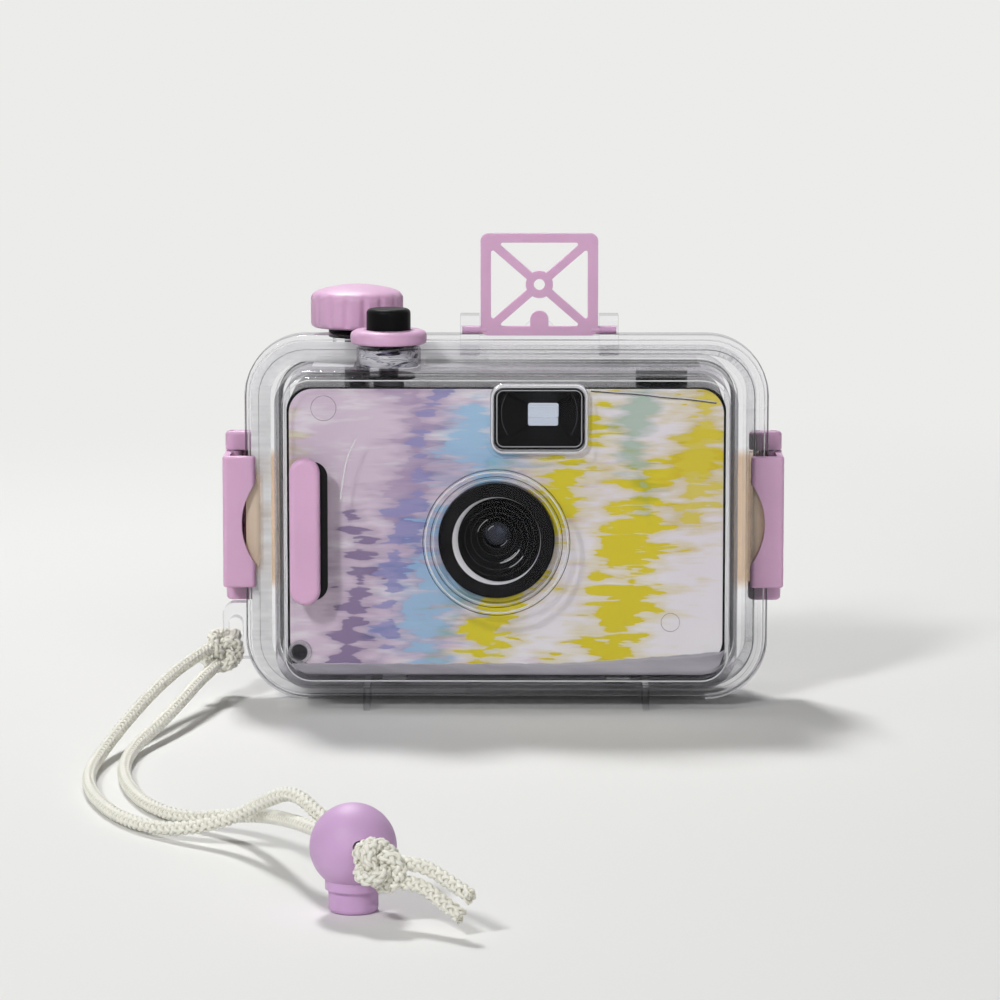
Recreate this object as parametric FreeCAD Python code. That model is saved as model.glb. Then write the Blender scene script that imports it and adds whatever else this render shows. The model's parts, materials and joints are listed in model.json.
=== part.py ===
import FreeCAD, Part
import math
import os

# Underwater film camera: a clear two-shell housing with side latches, its seals, knob and release,
# the film camera inside it, and a braided lanyard with a ball cord lock.
# Millimetres. X to the viewer's right, Y away from the viewer, Z up.
# The origin is on the surface that the housing stands on, under its middle.

V = FreeCAD.Vector

# Driving dimensions: housing
FLANGE_BORDER = 8.5
FLANGE_TOP_BORDER = 6.6
FLANGE_CORNER = 15.5
FRONT_FLANGE_FACE = -3.0
MATING_PLANE = 1.5
BACK_FLANGE_FACE = 6.0
POCKET_BOTTOM = 6.0
POCKET_CORNER = 9.0
POCKET_EDGE_ROUND = 3.0
FRONT_FACE = -24.0
REAR_FACE = 20.8
SHELL_WALL = 1.8
RIM_WIDTH = 2.4
RIM_HEIGHT = 1.1
FOOT_SPREAD = 35.0
FOOT_THICKNESS = 1.6
FOOT_RUN = 16.0
CRADLE_SPREAD = 28.0
CRADLE_WIDTH = 6.0

# Driving dimensions: main seal
SEAL_INSET = 4.2
SEAL_WIDTH = 2.2
SEAL_HEIGHT = 1.8
SEAL_SIDE_GAP = 0.15

# Driving dimensions: lens port and lens
LENS_X = -2.4
PORT_RADIUS = 18.3
PORT_STAND = 1.6
PORT_GROOVE_RADIUS = 16.2
PORT_GROOVE_DEPTH = 0.8
PORT_RECESS_RADIUS = 15.6
LENS_RING_RADIUS = 14.4
LENS_RING_STAND = 3.4
LENS_BORE_RADIUS = 11.0
BEZEL_WALL = 0.75
CONE_FRONT_RADIUS = 9.4
CONE_HOLE_RADIUS = 3.3
CONE_DEPTH = 6.8
HOLDER_DEPTH = 2.6
BLADE_GAP = 0.4
BLADE_ROOM = 1.5
BARREL_WALL = 1.5
BARREL_THICKNESS = 1.4
CONE_STEPS = 4
ELEMENT_RADIUS = 4.4
ELEMENT_THICKNESS = 2.0
ELEMENT_BULGE = 0.9
SHUTTER_THICKNESS = 0.3
SHUTTER_PIVOT_RADIUS = 5.5
SHUTTER_BLADE_RADIUS = 2.9
SHUTTER_PIN_RADIUS = 0.6
APERTURE_RADIUS = 2.2

# Driving dimensions: viewfinder and sight
SIGHT_X = 8.2
FINDER_DROP = 7.6
FINDER_WIDTH = 24.4
FINDER_HEIGHT = 17.4
FINDER_CORNER = 3.4
FINDER_RIM = 1.0
FINDER_STAND = 2.2
TUNNEL_WIDTH = 10.4
TUNNEL_HEIGHT = 7.6
SIGHT_AXIS_Y = -4.6
SIGHT_AXIS_RISE = 1.6
SIGHT_WIDTH = 29.4
SIGHT_HEIGHT = 25.6
SIGHT_THICKNESS = 1.8
SIGHT_SIDE_BAR = 2.6
SIGHT_END_BAR = 2.3
SIGHT_DIAGONAL = 2.1
SIGHT_HUB_RADIUS = 3.4
SIGHT_HOLE_RADIUS = 1.4
SIGHT_BELOW_AXIS = 1.35
SIGHT_TAB_RADIUS = 2.3
SIGHT_PIN_RADIUS = 1.0
SIGHT_PIN_LENGTH = 4.6
EAR_WIDTH = 4.8
EAR_HALF_DEPTH = 2.4
EAR_ABOVE_AXIS = 3.8
EAR_FOOT_DROP = 4.6
SIGHT_WEB_ROUND = 0.5
STOP_RADIUS = 4.5
STOP_THICKNESS = 1.0
STOP_SETBACK = 0.2

# Driving dimensions: release group on the housing
RELEASE_X = -29.3
RELEASE_Y = -13.0
BOSS_RADIUS = 8.0
BOSS_HEIGHT = 4.6
BOSS_COUNTERBORE_RADIUS = 6.6
BOSS_COUNTERBORE_DEPTH = 2.2
STEM_RADIUS = 2.4
COLLAR_RADIUS = 9.5
COLLAR_HEIGHT = 4.6
BUTTON_RADIUS = 5.5
BUTTON_FLANGE_RADIUS = 6.3
BUTTON_STAND = 5.2
BUTTON_WALL = 1.0
BUTTON_STROKE = 1.5
FOOT_DISC_RADIUS = 6.6
FOOT_DISC_HEIGHT = 1.0
RELEASE_SPRING_RADIUS = 3.9
RELEASE_SPRING_WIRE = 0.6
RELEASE_SPRING_TURNS = 5
BUTTON_LIP = 2.0
COLLAR_GAP = 0.08
SPRING_SEAT = 1.9

# Driving dimensions: wind group on the housing
WIND_INSET = 16.5
WIND_Y = 9.5
WIND_BOSS_RADIUS = 6.2
WIND_BOSS_HEIGHT = 5.2
BUSH_FLANGE_RADIUS = 7.2
BUSH_FLANGE_HEIGHT = 2.1
BUSH_SLEEVE_RADIUS = 3.2
WIND_SHAFT_RADIUS = 2.0
KNOB_RADIUS = 11.7
KNOB_HEIGHT = 10.8
KNOB_DOME = 3.6
KNOB_FLUTES = 16
KNOB_FLUTE_RADIUS = 1.5
FORK_WIDTH = 6.4
FORK_THICKNESS = 1.6
FORK_REACH = 2.2
KNOB_SOCKET = 7.0
SHAFT_FLAT = 1.3
WIND_SEAL_RADIUS = 3.3
WIND_SEAL_HEIGHT = 1.4
CLIP_DROP = 1.1
CLIP_THICKNESS = 0.6
CLIP_INNER_RADIUS = 1.5

# Driving dimensions: latches
LATCH_Z = 45.65
LEVER_HEIGHT = 33.4
LEVER_WALL = 1.8
LEVER_WIDTH = 8.3
LEVER_GAP_Z = 0.3
KNUCKLE_HEIGHT = 4.7
KNUCKLE_RADIUS = 2.0
LATCH_PIN_Y = 8.5
LATCH_PIN_RADIUS = 0.9
LINK_LENGTH = 4.3
LINK_BAR_THICKNESS = 1.6
NOTCH_RADIUS = 17.0
NOTCH_DEPTH = 3.5
LEVER_ROUND = 1.2
LEFT_STAND = 5.6
RIGHT_STAND = 3.9

# Driving dimensions: grip on the front window
GRIP_INSET = 7.7
GRIP_Z = 46.3
GRIP_WIDTH = 7.6
GRIP_HEIGHT = 36.8
GRIP_BASE_SHIFT = 1.8
GRIP_BASE_HEIGHT = 34.6
GRIP_BASE_THICKNESS = 1.2
GRIP_CAP_THICKNESS = 2.0

# Driving dimensions: lug and lanyard
LUG_OUT = 6.2
LUG_BOTTOM = 9.6
LUG_TOP = 24.0
LUG_STRIP = 1.4
LUG_SLOT_WIDTH = 3.6
LUG_SLOT_HEIGHT = 7.0
CORD_DIAMETER = 3.0
LUG_KNOT_RADIUS = 5.8
END_KNOT_RADIUS = 4.6
BALL_X = -29.6
BALL_Y = -234.6
BALL_Z = 13.3
BALL_RADIUS = 8.8
BALL_NECK_RADIUS = 5.7
LOCK_BUTTON_RADIUS = 5.05
LOCK_BUTTON_STAND = 4.7
LOCK_STROKE = 2.0
LOCK_PLUNGER_RADIUS = 4.2
LOCK_AIM = -65.2
LOCK_CAVITY_ABOVE = 6.3
LOCK_BRIDGE = 1.6
LOCK_SPRING_RADIUS = 2.6
LOCK_SPRING_WIRE = 0.35
LUG_KNOT_Y = -4.5
LUG_KNOT_Z = 12.4
LUG_LOOP_Z = 15.0

# Driving dimensions: film camera inside
CAMERA_WIDTH = 109.0
CAMERA_DEPTH = 31.8
CAMERA_SIDE_ROOM = 1.2
CAMERA_TOP_ROOM = 2.8
CAMERA_FRONT_ROOM = 2.9
CRADLE_RISE = 1.7
CAMERA_CORNER = 6.0
CAMERA_WALL = 1.6
TOP_COVER_HEIGHT = 2.6
PANEL_THICKNESS = 0.4
PANEL_INSET_X = 0.6
PANEL_BOTTOM_MARGIN = 2.5
PANEL_TOP_MARGIN = 0.4
DOOR_THICKNESS = 1.8
DOOR_MARGIN = 0.5
DOOR_LIP = 0.1
DOOR_ROUND = 0.8
DOOR_WINDOW_WIDTH = 9.0
DOOR_WINDOW_HEIGHT = 26.0
DOOR_WINDOW_SHIFT = 4.0
DOOR_WINDOW_DEPTH = 0.6
FOCAL_DEPTH = 16.6
GATE_WIDTH = 36.0
GATE_HEIGHT = 24.0
CASSETTE_INSET = 15.5
CHAMBER_RADIUS = 13.0
CHAMBER_WALL = 1.2
CHAMBER_RISE = 9.6
CHAMBER_HEIGHT = 49.0
PLATE_THICKNESS = 1.2
GEAR_ROOM = 5.2
WHEEL_RADIUS = 8.0
WHEEL_DROP = 4.5
WHEEL_THICKNESS = 3.6
WHEEL_HUB_RADIUS = 4.2
WHEEL_SERRATIONS = 24
GEAR_MODULE = 0.6
PINION_TEETH = 14
SPOOL_TEETH = 18
GEAR_THICKNESS = 1.6
SPOOL_CORE_RADIUS = 4.5
SPROCKET_X = -26.5
SPROCKET_TEETH = 8
SPROCKET_RADIUS = 5.9
SPROCKET_TOOTH = 1.0
SPROCKET_THICKNESS = 1.6
PERFORATION_SPACING = 28.2
REWIND_RADIUS = 6.5
COUNTER_RADIUS = 7.0
COUNTER_THICKNESS = 0.8
RELEASE_BUTTON_RADIUS = 3.8
SCREW_RADIUS = 2.1
SCREW_SHANK_RADIUS = 1.3
SCREW_SLOT = 0.5
SCREW_INSET = 2.7
SCREW_RISE = 5.5
FUNNEL_DEPTH = 7.3
RAIL_HEIGHT = 0.6
PRESSURE_PLATE = 0.8
PRESSURE_WIDTH = 40.0
PRESSURE_HEIGHT = 34.0
PRESSURE_GAP = 0.2
LEAF_THICKNESS = 0.3
LEAF_WIDTH = 12.0
LEAF_HALF_SPAN = 14.0
LEAF_FOOT = 3.0
LEAF_HALF_CROWN = 3.0
TUNNEL_WALL = 0.9
SHELF_DROP = 3.0
AXLE_RADIUS = 1.5
SPOOL_NECK_RADIUS = 2.5
SPOOL_FLANGE_RADIUS = 7.5
SPROCKET_SHAFT_RADIUS = 2.4
SPROCKET_PIVOT_RADIUS = 1.5
COUNTER_PIN_RADIUS = 1.0
COVER_SKIN = 1.0
RELEASE_FLANGE_RADIUS = 4.5
RELEASE_RISE = 1.5
RELEASE_SEAT_RISE = 0.4
CAMERA_SPRING_RADIUS = 3.0
CAMERA_SPRING_WIRE = 0.5
REWIND_RISE = 2.2
REWIND_WELL_DEPTH = 1.0
REWIND_GRIP_WIDTH = 1.8
REWIND_STEM_REACH = 4.0
REWIND_FORK_WIDTH = 1.6
REWIND_FORK_DEPTH = 2.5
FUNNEL_WIDTH = 7.6
FUNNEL_HEIGHT = 5.7
FUNNEL_SHIFT = 1.0
FINDER_LENS = 1.5

# Named clearances
RUNNING = 0.05
FIT = 0.02
LOOSE = 0.3
TOUCH_GAP = 0.15

os.makedirs("parts", exist_ok=True)

# Derived sizes
POCKET_WIDTH = CAMERA_WIDTH + 2 * (CAMERA_SIDE_ROOM + SHELL_WALL)
CAMERA_BOTTOM = POCKET_BOTTOM + SHELL_WALL + CRADLE_RISE
CHAMBER_FLOOR = CAMERA_BOTTOM + CHAMBER_RISE
CHAMBER_ROOF = CHAMBER_FLOOR + CHAMBER_HEIGHT
LENS_Z = CHAMBER_FLOOR + CHAMBER_HEIGHT / 2
WHEEL_BOTTOM = CHAMBER_ROOF + PLATE_THICKNESS + GEAR_ROOM
COVER_BOTTOM = WHEEL_BOTTOM + WHEEL_DROP
CAMERA_TOP = COVER_BOTTOM + TOP_COVER_HEIGHT
CAMERA_HEIGHT = CAMERA_TOP - CAMERA_BOTTOM
POCKET_TOP = CAMERA_TOP + CAMERA_TOP_ROOM + SHELL_WALL
FLANGE_WIDTH = POCKET_WIDTH + 2 * FLANGE_BORDER
FLANGE_HEIGHT = POCKET_TOP + FLANGE_TOP_BORDER
FLANGE_MID_Z = FLANGE_HEIGHT / 2
POCKET_HEIGHT = POCKET_TOP - POCKET_BOTTOM
POCKET_MID_Z = (POCKET_TOP + POCKET_BOTTOM) / 2
INNER_WIDTH = POCKET_WIDTH - 2 * SHELL_WALL
INNER_HEIGHT = POCKET_HEIGHT - 2 * SHELL_WALL
INNER_CORNER = POCKET_CORNER - SHELL_WALL
INNER_FLOOR = POCKET_BOTTOM + SHELL_WALL
INNER_CEILING = POCKET_TOP - SHELL_WALL
INNER_FRONT = FRONT_FACE + SHELL_WALL
INNER_REAR = REAR_FACE - SHELL_WALL
FLANGE_EDGE = FLANGE_WIDTH / 2
CAMERA_MID_Z = (CAMERA_TOP + CAMERA_BOTTOM) / 2
CAMERA_FRONT = INNER_FRONT + CAMERA_FRONT_ROOM
CAMERA_REAR = CAMERA_FRONT + CAMERA_DEPTH
PANEL_BOTTOM = CAMERA_BOTTOM + PANEL_BOTTOM_MARGIN
PANEL_TOP = CAMERA_TOP - PANEL_TOP_MARGIN
SCREW_X = SCREW_INSET - CAMERA_WIDTH / 2
SCREW_Z = CAMERA_BOTTOM + SCREW_RISE
GRIP_X = GRIP_INSET - POCKET_WIDTH / 2
LUG_EDGE = -FLANGE_EDGE - LUG_OUT
CONE_REAR = CAMERA_FRONT + CONE_DEPTH
HOLDER_REAR = CONE_REAR + HOLDER_DEPTH
BLADE_FACE = HOLDER_REAR + BLADE_GAP
BARREL_WALL_FACE = BLADE_FACE + BLADE_ROOM
FILM_PLANE = BARREL_WALL_FACE + FOCAL_DEPTH
FINDER_Z = CAMERA_TOP - FINDER_DROP
FINDER_FUNNEL_REAR = CAMERA_FRONT + FUNNEL_DEPTH
SIGHT_AXIS_Z = FLANGE_HEIGHT + SIGHT_AXIS_RISE
EAR_FOOT_Z = FLANGE_HEIGHT - EAR_FOOT_DROP
WIND_X = WIND_INSET - CAMERA_WIDTH / 2
WIND_BOSS_TOP = POCKET_TOP + WIND_BOSS_HEIGHT
CLIP_Z = INNER_CEILING - CLIP_DROP
CASSETTE_X = CAMERA_WIDTH / 2 - CASSETTE_INSET
SHELF_TOP = COVER_BOTTOM - SHELF_DROP
RELEASE_SEAT = COVER_BOTTOM + RELEASE_SEAT_RISE
REWIND_TOP = CAMERA_TOP + REWIND_RISE
SPOOL_X = WIND_X
SPOOL_Y = WIND_Y - GEAR_MODULE * (PINION_TEETH + SPOOL_TEETH) / 2
SPROCKET_Y = FILM_PLANE - SPROCKET_RADIUS
DOOR_TOP = CHAMBER_ROOF + PLATE_THICKNESS + DOOR_LIP
GEAR_BOTTOM = CHAMBER_ROOF + PLATE_THICKNESS + LOOSE
PINION_TIP = GEAR_MODULE * (PINION_TEETH / 2 + 0.8)


# Basic solids

def box(x0, x1, y0, y1, z0, z1):
    return Part.makeBox(x1 - x0, y1 - y0, z1 - z0, V(x0, y0, z0))


def cylinder_z(x, y, z0, z1, radius):
    return Part.makeCylinder(radius, z1 - z0, V(x, y, z0), V(0, 0, 1))


def cylinder_y(x, z, y0, y1, radius):
    return Part.makeCylinder(radius, y1 - y0, V(x, y0, z), V(0, 1, 0))


def cylinder_x(y, z, x0, x1, radius):
    return Part.makeCylinder(radius, x1 - x0, V(x0, y, z), V(1, 0, 0))


def tube_z(x, y, z0, z1, outer, inner):
    return cylinder_z(x, y, z0, z1, outer).cut(cylinder_z(x, y, z0, z1, inner))


def tube_y(x, z, y0, y1, outer, inner):
    return cylinder_y(x, z, y0, y1, outer).cut(cylinder_y(x, z, y0, y1, inner))


def rounded_outline(width, height, radius):
    """Closed rounded rectangle about the origin, in the XY plane."""
    w = width / 2
    h = height / 2
    r = min(radius, w - 0.01, h - 0.01)
    k = r * (1 - math.sqrt(0.5))
    edges = [
        Part.LineSegment(V(-w + r, -h, 0), V(w - r, -h, 0)),
        Part.Arc(V(w - r, -h, 0), V(w - k, -h + k, 0), V(w, -h + r, 0)),
        Part.LineSegment(V(w, -h + r, 0), V(w, h - r, 0)),
        Part.Arc(V(w, h - r, 0), V(w - k, h - k, 0), V(w - r, h, 0)),
        Part.LineSegment(V(w - r, h, 0), V(-w + r, h, 0)),
        Part.Arc(V(-w + r, h, 0), V(-w + k, h - k, 0), V(-w, h - r, 0)),
        Part.LineSegment(V(-w, h - r, 0), V(-w, -h + r, 0)),
        Part.Arc(V(-w, -h + r, 0), V(-w + k, -h + k, 0), V(-w + r, -h, 0)),
    ]
    return Part.Wire([edge.toShape() for edge in edges])


def slab_y(x, z, width, height, radius, y0, y1):
    """Rounded rectangle standing in the XZ plane, extruded along Y."""
    wire = rounded_outline(width, height, radius)
    wire.rotate(V(0, 0, 0), V(1, 0, 0), 90)
    wire.translate(V(x, y0, z))
    return Part.Face(wire).extrude(V(0, y1 - y0, 0))


def polygon_face(points):
    return Part.Face(Part.makePolygon(points + [points[0]]))


def revolve_z(x, y, profile):
    """Solid of revolution about a vertical axis; profile is (radius, z) pairs."""
    points = [V(x + r, y, z) for r, z in profile]
    return polygon_face(points).revolve(V(x, y, 0), V(0, 0, 1), 360)


def revolve_y(x, z, profile):
    """Solid of revolution about an axis along Y; profile is (radius, y) pairs."""
    points = [V(x + r, y, z) for r, y in profile]
    return polygon_face(points).revolve(V(x, 0, z), V(0, 1, 0), 360)


def round_edges(shape, radius, wanted):
    """Fillet the edges whose middle point satisfies wanted."""
    edges = [e for e in shape.Edges if wanted(e.valueAt((e.FirstParameter + e.LastParameter) / 2))]
    return shape.makeFillet(radius, edges)


def chamfer_edges(shape, size, wanted):
    edges = [e for e in shape.Edges if wanted(e.valueAt((e.FirstParameter + e.LastParameter) / 2))]
    return shape.makeChamfer(size, edges)


def cap_middle(radius, rim, apex):
    """Height half way in along a shallow cap whose centre of curvature is on its axis."""
    rise = abs(apex - rim)
    curve = (radius ** 2 + rise ** 2) / (2 * rise)
    drop = curve - math.sqrt(curve ** 2 - radius ** 2 / 4)
    return apex - math.copysign(drop, apex - rim)


def near(a, b, tolerance=0.02):
    return abs(a - b) < tolerance


def fuse_all(shapes):
    result = shapes[0]
    for shape in shapes[1:]:
        result = result.fuse(shape)
    return result.removeSplitter()


def cut_all(shape, tools):
    for tool in tools:
        shape = shape.cut(tool)
    return shape


def save(name, shape):
    solids = shape.Solids
    print("%-22s solids %d  volume %9.1f  valid %s" % (name, len(solids), shape.Volume, shape.isValid()))
    if len(solids) == 1:
        shape = solids[0]
    shape.exportStep("parts/%s.step" % name)


# Coil springs: a round wire on a helix of quarter-turn arcs

def coil_spring(x, y, z0, z1, radius, wire, turns):
    """Compression spring standing on z0, with its wire ends square to the helix."""
    low = z0 + wire / 2
    rise = z1 - z0 - wire
    steps = turns * 4

    def on_helix(step):
        angle = math.pi / 2 * step
        return V(x + radius * math.cos(angle), y + radius * math.sin(angle), low + rise * step / steps)

    edges = []
    for step in range(steps):
        edges.append(Part.Arc(on_helix(step), on_helix(step + 0.5), on_helix(step + 1)).toShape())
    path = Part.Wire(edges)
    start = edges[0].valueAt(edges[0].FirstParameter)
    along = edges[0].tangentAt(edges[0].FirstParameter)
    profile = Part.Wire(Part.Circle(start, along, wire / 2).toShape())
    sweep = Part.BRepOffsetAPI.MakePipeShell(path)
    sweep.add(profile)
    sweep.build()
    sweep.makeSolid()
    print("spring gap between turns %.2f" % (rise / turns - wire))
    return sweep.shape()


# Cord tubes: straight runs joined by tangent arcs

def cord_tube(name, route, diameter):
    """Round cord along a hand-laid route, with each corner as an arc as large as its runs allow."""
    points = [V(*p) for p in route]
    edges = []
    last = points[0]
    smallest = None
    for i in range(1, len(points) - 1):
        before = (points[i - 1] - points[i])
        after = (points[i + 1] - points[i])
        short = min(before.Length, after.Length)
        before.normalize()
        after.normalize()
        turn = math.pi - before.getAngle(after)
        reach = 0.45 * short
        radius = reach / math.tan(turn / 2)
        start = points[i] + before * reach
        end = points[i] + after * reach
        bisector = before + after
        bisector.normalize()
        middle = points[i] + bisector * (radius / math.cos(turn / 2) - radius)
        edges.append(Part.LineSegment(last, start).toShape())
        edges.append(Part.Arc(start, middle, end).toShape())
        last = end
        smallest = radius if smallest is None else min(smallest, radius)
    edges.append(Part.LineSegment(last, points[-1]).toShape())
    path = Part.Wire(edges)
    along = points[1] - points[0]
    profile = Part.Wire(Part.Circle(points[0], along, diameter / 2).toShape())
    sweep = Part.BRepOffsetAPI.MakePipeShell(path)
    sweep.add(profile)
    sweep.setTransitionMode(1)
    sweep.build()
    sweep.makeSolid()
    tube = sweep.shape()
    wanted = math.pi * diameter ** 2 / 4 * path.Length
    print("%s length %.1f, smallest radius %.1f, volume share %.4f, lowest %.2f" % (
        name, path.Length, smallest or 0, tube.Volume / wanted, tube.BoundBox.ZMin))
    return tube


# Gears: straight teeth with rounded-off flanks taken as three chords a side

def gear(x, y, z0, z1, teeth, phase):
    pitch = GEAR_MODULE * teeth / 2
    root = pitch - 1.1 * GEAR_MODULE
    tip = pitch + 0.8 * GEAR_MODULE
    step = 2 * math.pi / teeth
    half_root = step * 0.30
    half_pitch = step * 0.225
    half_tip = step * 0.11
    points = []
    for i in range(teeth):
        middle = math.radians(phase) + i * step
        flank = [(root, -half_root), (pitch, -half_pitch), (tip, -half_tip),
                 (tip, half_tip), (pitch, half_pitch), (root, half_root)]
        for radius, offset in flank:
            angle = middle + offset
            points.append(V(x + radius * math.cos(angle), y + radius * math.sin(angle), z0))
    return polygon_face(points).extrude(V(0, 0, z1 - z0))


# Housing: front shell

def boss_top():
    return POCKET_TOP + BOSS_HEIGHT


def sight_ears():
    """The two clear ears that carry the sight's pins, standing on the front flange's top edge."""
    solids = []
    for side in (-1, 1):
        inner = SIGHT_X + side * (SIGHT_WIDTH / 2 + LOOSE)
        outer = inner + side * EAR_WIDTH
        x0, x1 = min(inner, outer), max(inner, outer)
        top = SIGHT_AXIS_Z + EAR_ABOVE_AXIS
        ear = box(x0, x1, SIGHT_AXIS_Y - EAR_HALF_DEPTH, MATING_PLANE, FLANGE_HEIGHT - 1.0, top)
        foot = box(x0, x1, SIGHT_AXIS_Y - EAR_HALF_DEPTH, FRONT_FLANGE_FACE, EAR_FOOT_Z, top - 1.0)
        ear = ear.fuse(foot).removeSplitter()
        front = SIGHT_AXIS_Y - 1
        ear = round_edges(ear, 1.2, lambda p: near(p.z, top) and (near(p.y, MATING_PLANE) or p.y < front))
        bore_start = inner - side * 1.0
        bore_end = inner + side * (SIGHT_PIN_LENGTH - LOOSE + 0.3)
        b0, b1 = min(bore_start, bore_end), max(bore_start, bore_end)
        ear = ear.cut(cylinder_x(SIGHT_AXIS_Y, SIGHT_AXIS_Z, b0, b1, SIGHT_PIN_RADIUS + RUNNING))
        solids.append(ear)
    return solids


def front_shell():
    flange = slab_y(0, FLANGE_MID_Z, FLANGE_WIDTH, FLANGE_HEIGHT, FLANGE_CORNER,
                    FRONT_FLANGE_FACE, MATING_PLANE)
    flange = round_edges(flange, 0.8, lambda p: near(p.y, FRONT_FLANGE_FACE))
    inset = 2 * RIM_WIDTH
    channel = slab_y(0, FLANGE_MID_Z, FLANGE_WIDTH - inset, FLANGE_HEIGHT - inset, FLANGE_CORNER - RIM_WIDTH,
                     FRONT_FLANGE_FACE - 1, FRONT_FLANGE_FACE + RIM_HEIGHT)
    flange = flange.cut(channel)
    pocket = slab_y(0, POCKET_MID_Z, POCKET_WIDTH, POCKET_HEIGHT, POCKET_CORNER, FRONT_FACE, MATING_PLANE)
    pocket = round_edges(pocket, POCKET_EDGE_ROUND, lambda p: near(p.y, FRONT_FACE))
    port = cylinder_y(LENS_X, LENS_Z, FRONT_FACE - PORT_STAND, FRONT_FACE + 1, PORT_RADIUS)
    port = round_edges(port, 0.6, lambda p: near(p.y, FRONT_FACE - PORT_STAND))
    port_groove = tube_y(LENS_X, LENS_Z, FRONT_FACE - PORT_STAND - 1,
                         FRONT_FACE - PORT_STAND + PORT_GROOVE_DEPTH,
                         PORT_GROOVE_RADIUS, PORT_GROOVE_RADIUS - 1.2)
    finder_window = slab_y(SIGHT_X, FINDER_Z, FINDER_WIDTH + 1.6, FINDER_HEIGHT + 1.6, FINDER_CORNER + 0.8,
                           FRONT_FACE - 0.8, FRONT_FACE + 1)
    release_boss = cylinder_z(RELEASE_X, RELEASE_Y, POCKET_TOP - 1, boss_top(), BOSS_RADIUS)
    parts = [flange, pocket, port, finder_window, release_boss]
    parts += sight_ears()
    stop_face = FRONT_FLANGE_FACE + STOP_SETBACK
    stop = cylinder_y(SIGHT_X, FLANGE_HEIGHT - 0.2, stop_face, stop_face + STOP_THICKNESS, STOP_RADIUS)
    stop_room = box(SIGHT_X - STOP_RADIUS, SIGHT_X + STOP_RADIUS, stop_face, stop_face + STOP_THICKNESS,
                    FLANGE_HEIGHT - STOP_THICKNESS, FLANGE_HEIGHT + STOP_RADIUS)
    parts.append(stop.common(stop_room))
    for side in (-1, 1):
        x = side * FOOT_SPREAD
        parts.append(box(x - FOOT_THICKNESS / 2, x + FOOT_THICKNESS / 2, FRONT_FLANGE_FACE - FOOT_RUN,
                         FRONT_FLANGE_FACE + 1.5, 0, POCKET_BOTTOM + 1))
    shell = fuse_all(parts)
    inner = slab_y(0, POCKET_MID_Z, INNER_WIDTH, INNER_HEIGHT, INNER_CORNER, INNER_FRONT, MATING_PLANE + 1)
    inner = round_edges(inner, POCKET_EDGE_ROUND - SHELL_WALL, lambda p: near(p.y, INNER_FRONT))
    lens_recess = cylinder_y(LENS_X, LENS_Z, FRONT_FACE - PORT_STAND + SHELL_WALL, INNER_FRONT + 1,
                             PORT_RECESS_RADIUS)
    boss_bore = cylinder_z(RELEASE_X, RELEASE_Y, POCKET_TOP - 5, boss_top() + 1, STEM_RADIUS + RUNNING)
    boss_seat = cylinder_z(RELEASE_X, RELEASE_Y, boss_top() - BOSS_COUNTERBORE_DEPTH, boss_top() + 1,
                           BOSS_COUNTERBORE_RADIUS)
    shell = cut_all(shell, [inner, port_groove, lens_recess, boss_bore, boss_seat])
    for side in (-1, 1):
        x = side * CRADLE_SPREAD
        rib = box(x - CRADLE_WIDTH / 2, x + CRADLE_WIDTH / 2, CAMERA_FRONT + 1, MATING_PLANE,
                  INNER_FLOOR - 0.5, CAMERA_BOTTOM)
        shell = shell.fuse(rib)
    return shell.removeSplitter()


# Housing: back shell

def latch_axes(side):
    """X of the link's fixed axis and of the lever's axis on one side of the housing."""
    stand = LEFT_STAND if side < 0 else RIGHT_STAND
    lever_x = FLANGE_EDGE + stand - KNUCKLE_RADIUS
    return side * (lever_x - LINK_LENGTH), side * lever_x


def lug_plate():
    """Strap lug on the left side of the back flange, and the slot through it."""
    outer = LUG_EDGE
    root = -FLANGE_EDGE + LUG_OUT
    middle_z = (LUG_BOTTOM + LUG_TOP) / 2
    plate = slab_y((outer + root) / 2, middle_z, root - outer, LUG_TOP - LUG_BOTTOM, 3.0,
                   MATING_PLANE, BACK_FLANGE_FACE)
    slot_x = outer + LUG_STRIP + LUG_SLOT_WIDTH / 2
    slot = slab_y(slot_x, middle_z, LUG_SLOT_WIDTH, LUG_SLOT_HEIGHT, LUG_SLOT_WIDTH / 2,
                  MATING_PLANE - 1, BACK_FLANGE_FACE + 1)
    return plate, slot


def seal_loop(width, y0, y1):
    """Rounded rectangular loop that follows the flange, centred on the seal's line."""
    inset = 2 * SEAL_INSET
    outer = slab_y(0, FLANGE_MID_Z, FLANGE_WIDTH - inset + width, FLANGE_HEIGHT - inset + width,
                   FLANGE_CORNER - SEAL_INSET + width / 2, y0, y1)
    inner = slab_y(0, FLANGE_MID_Z, FLANGE_WIDTH - inset - width, FLANGE_HEIGHT - inset - width,
                   FLANGE_CORNER - SEAL_INSET - width / 2, y0 - 1, y1 + 1)
    return outer.cut(inner)


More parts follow.
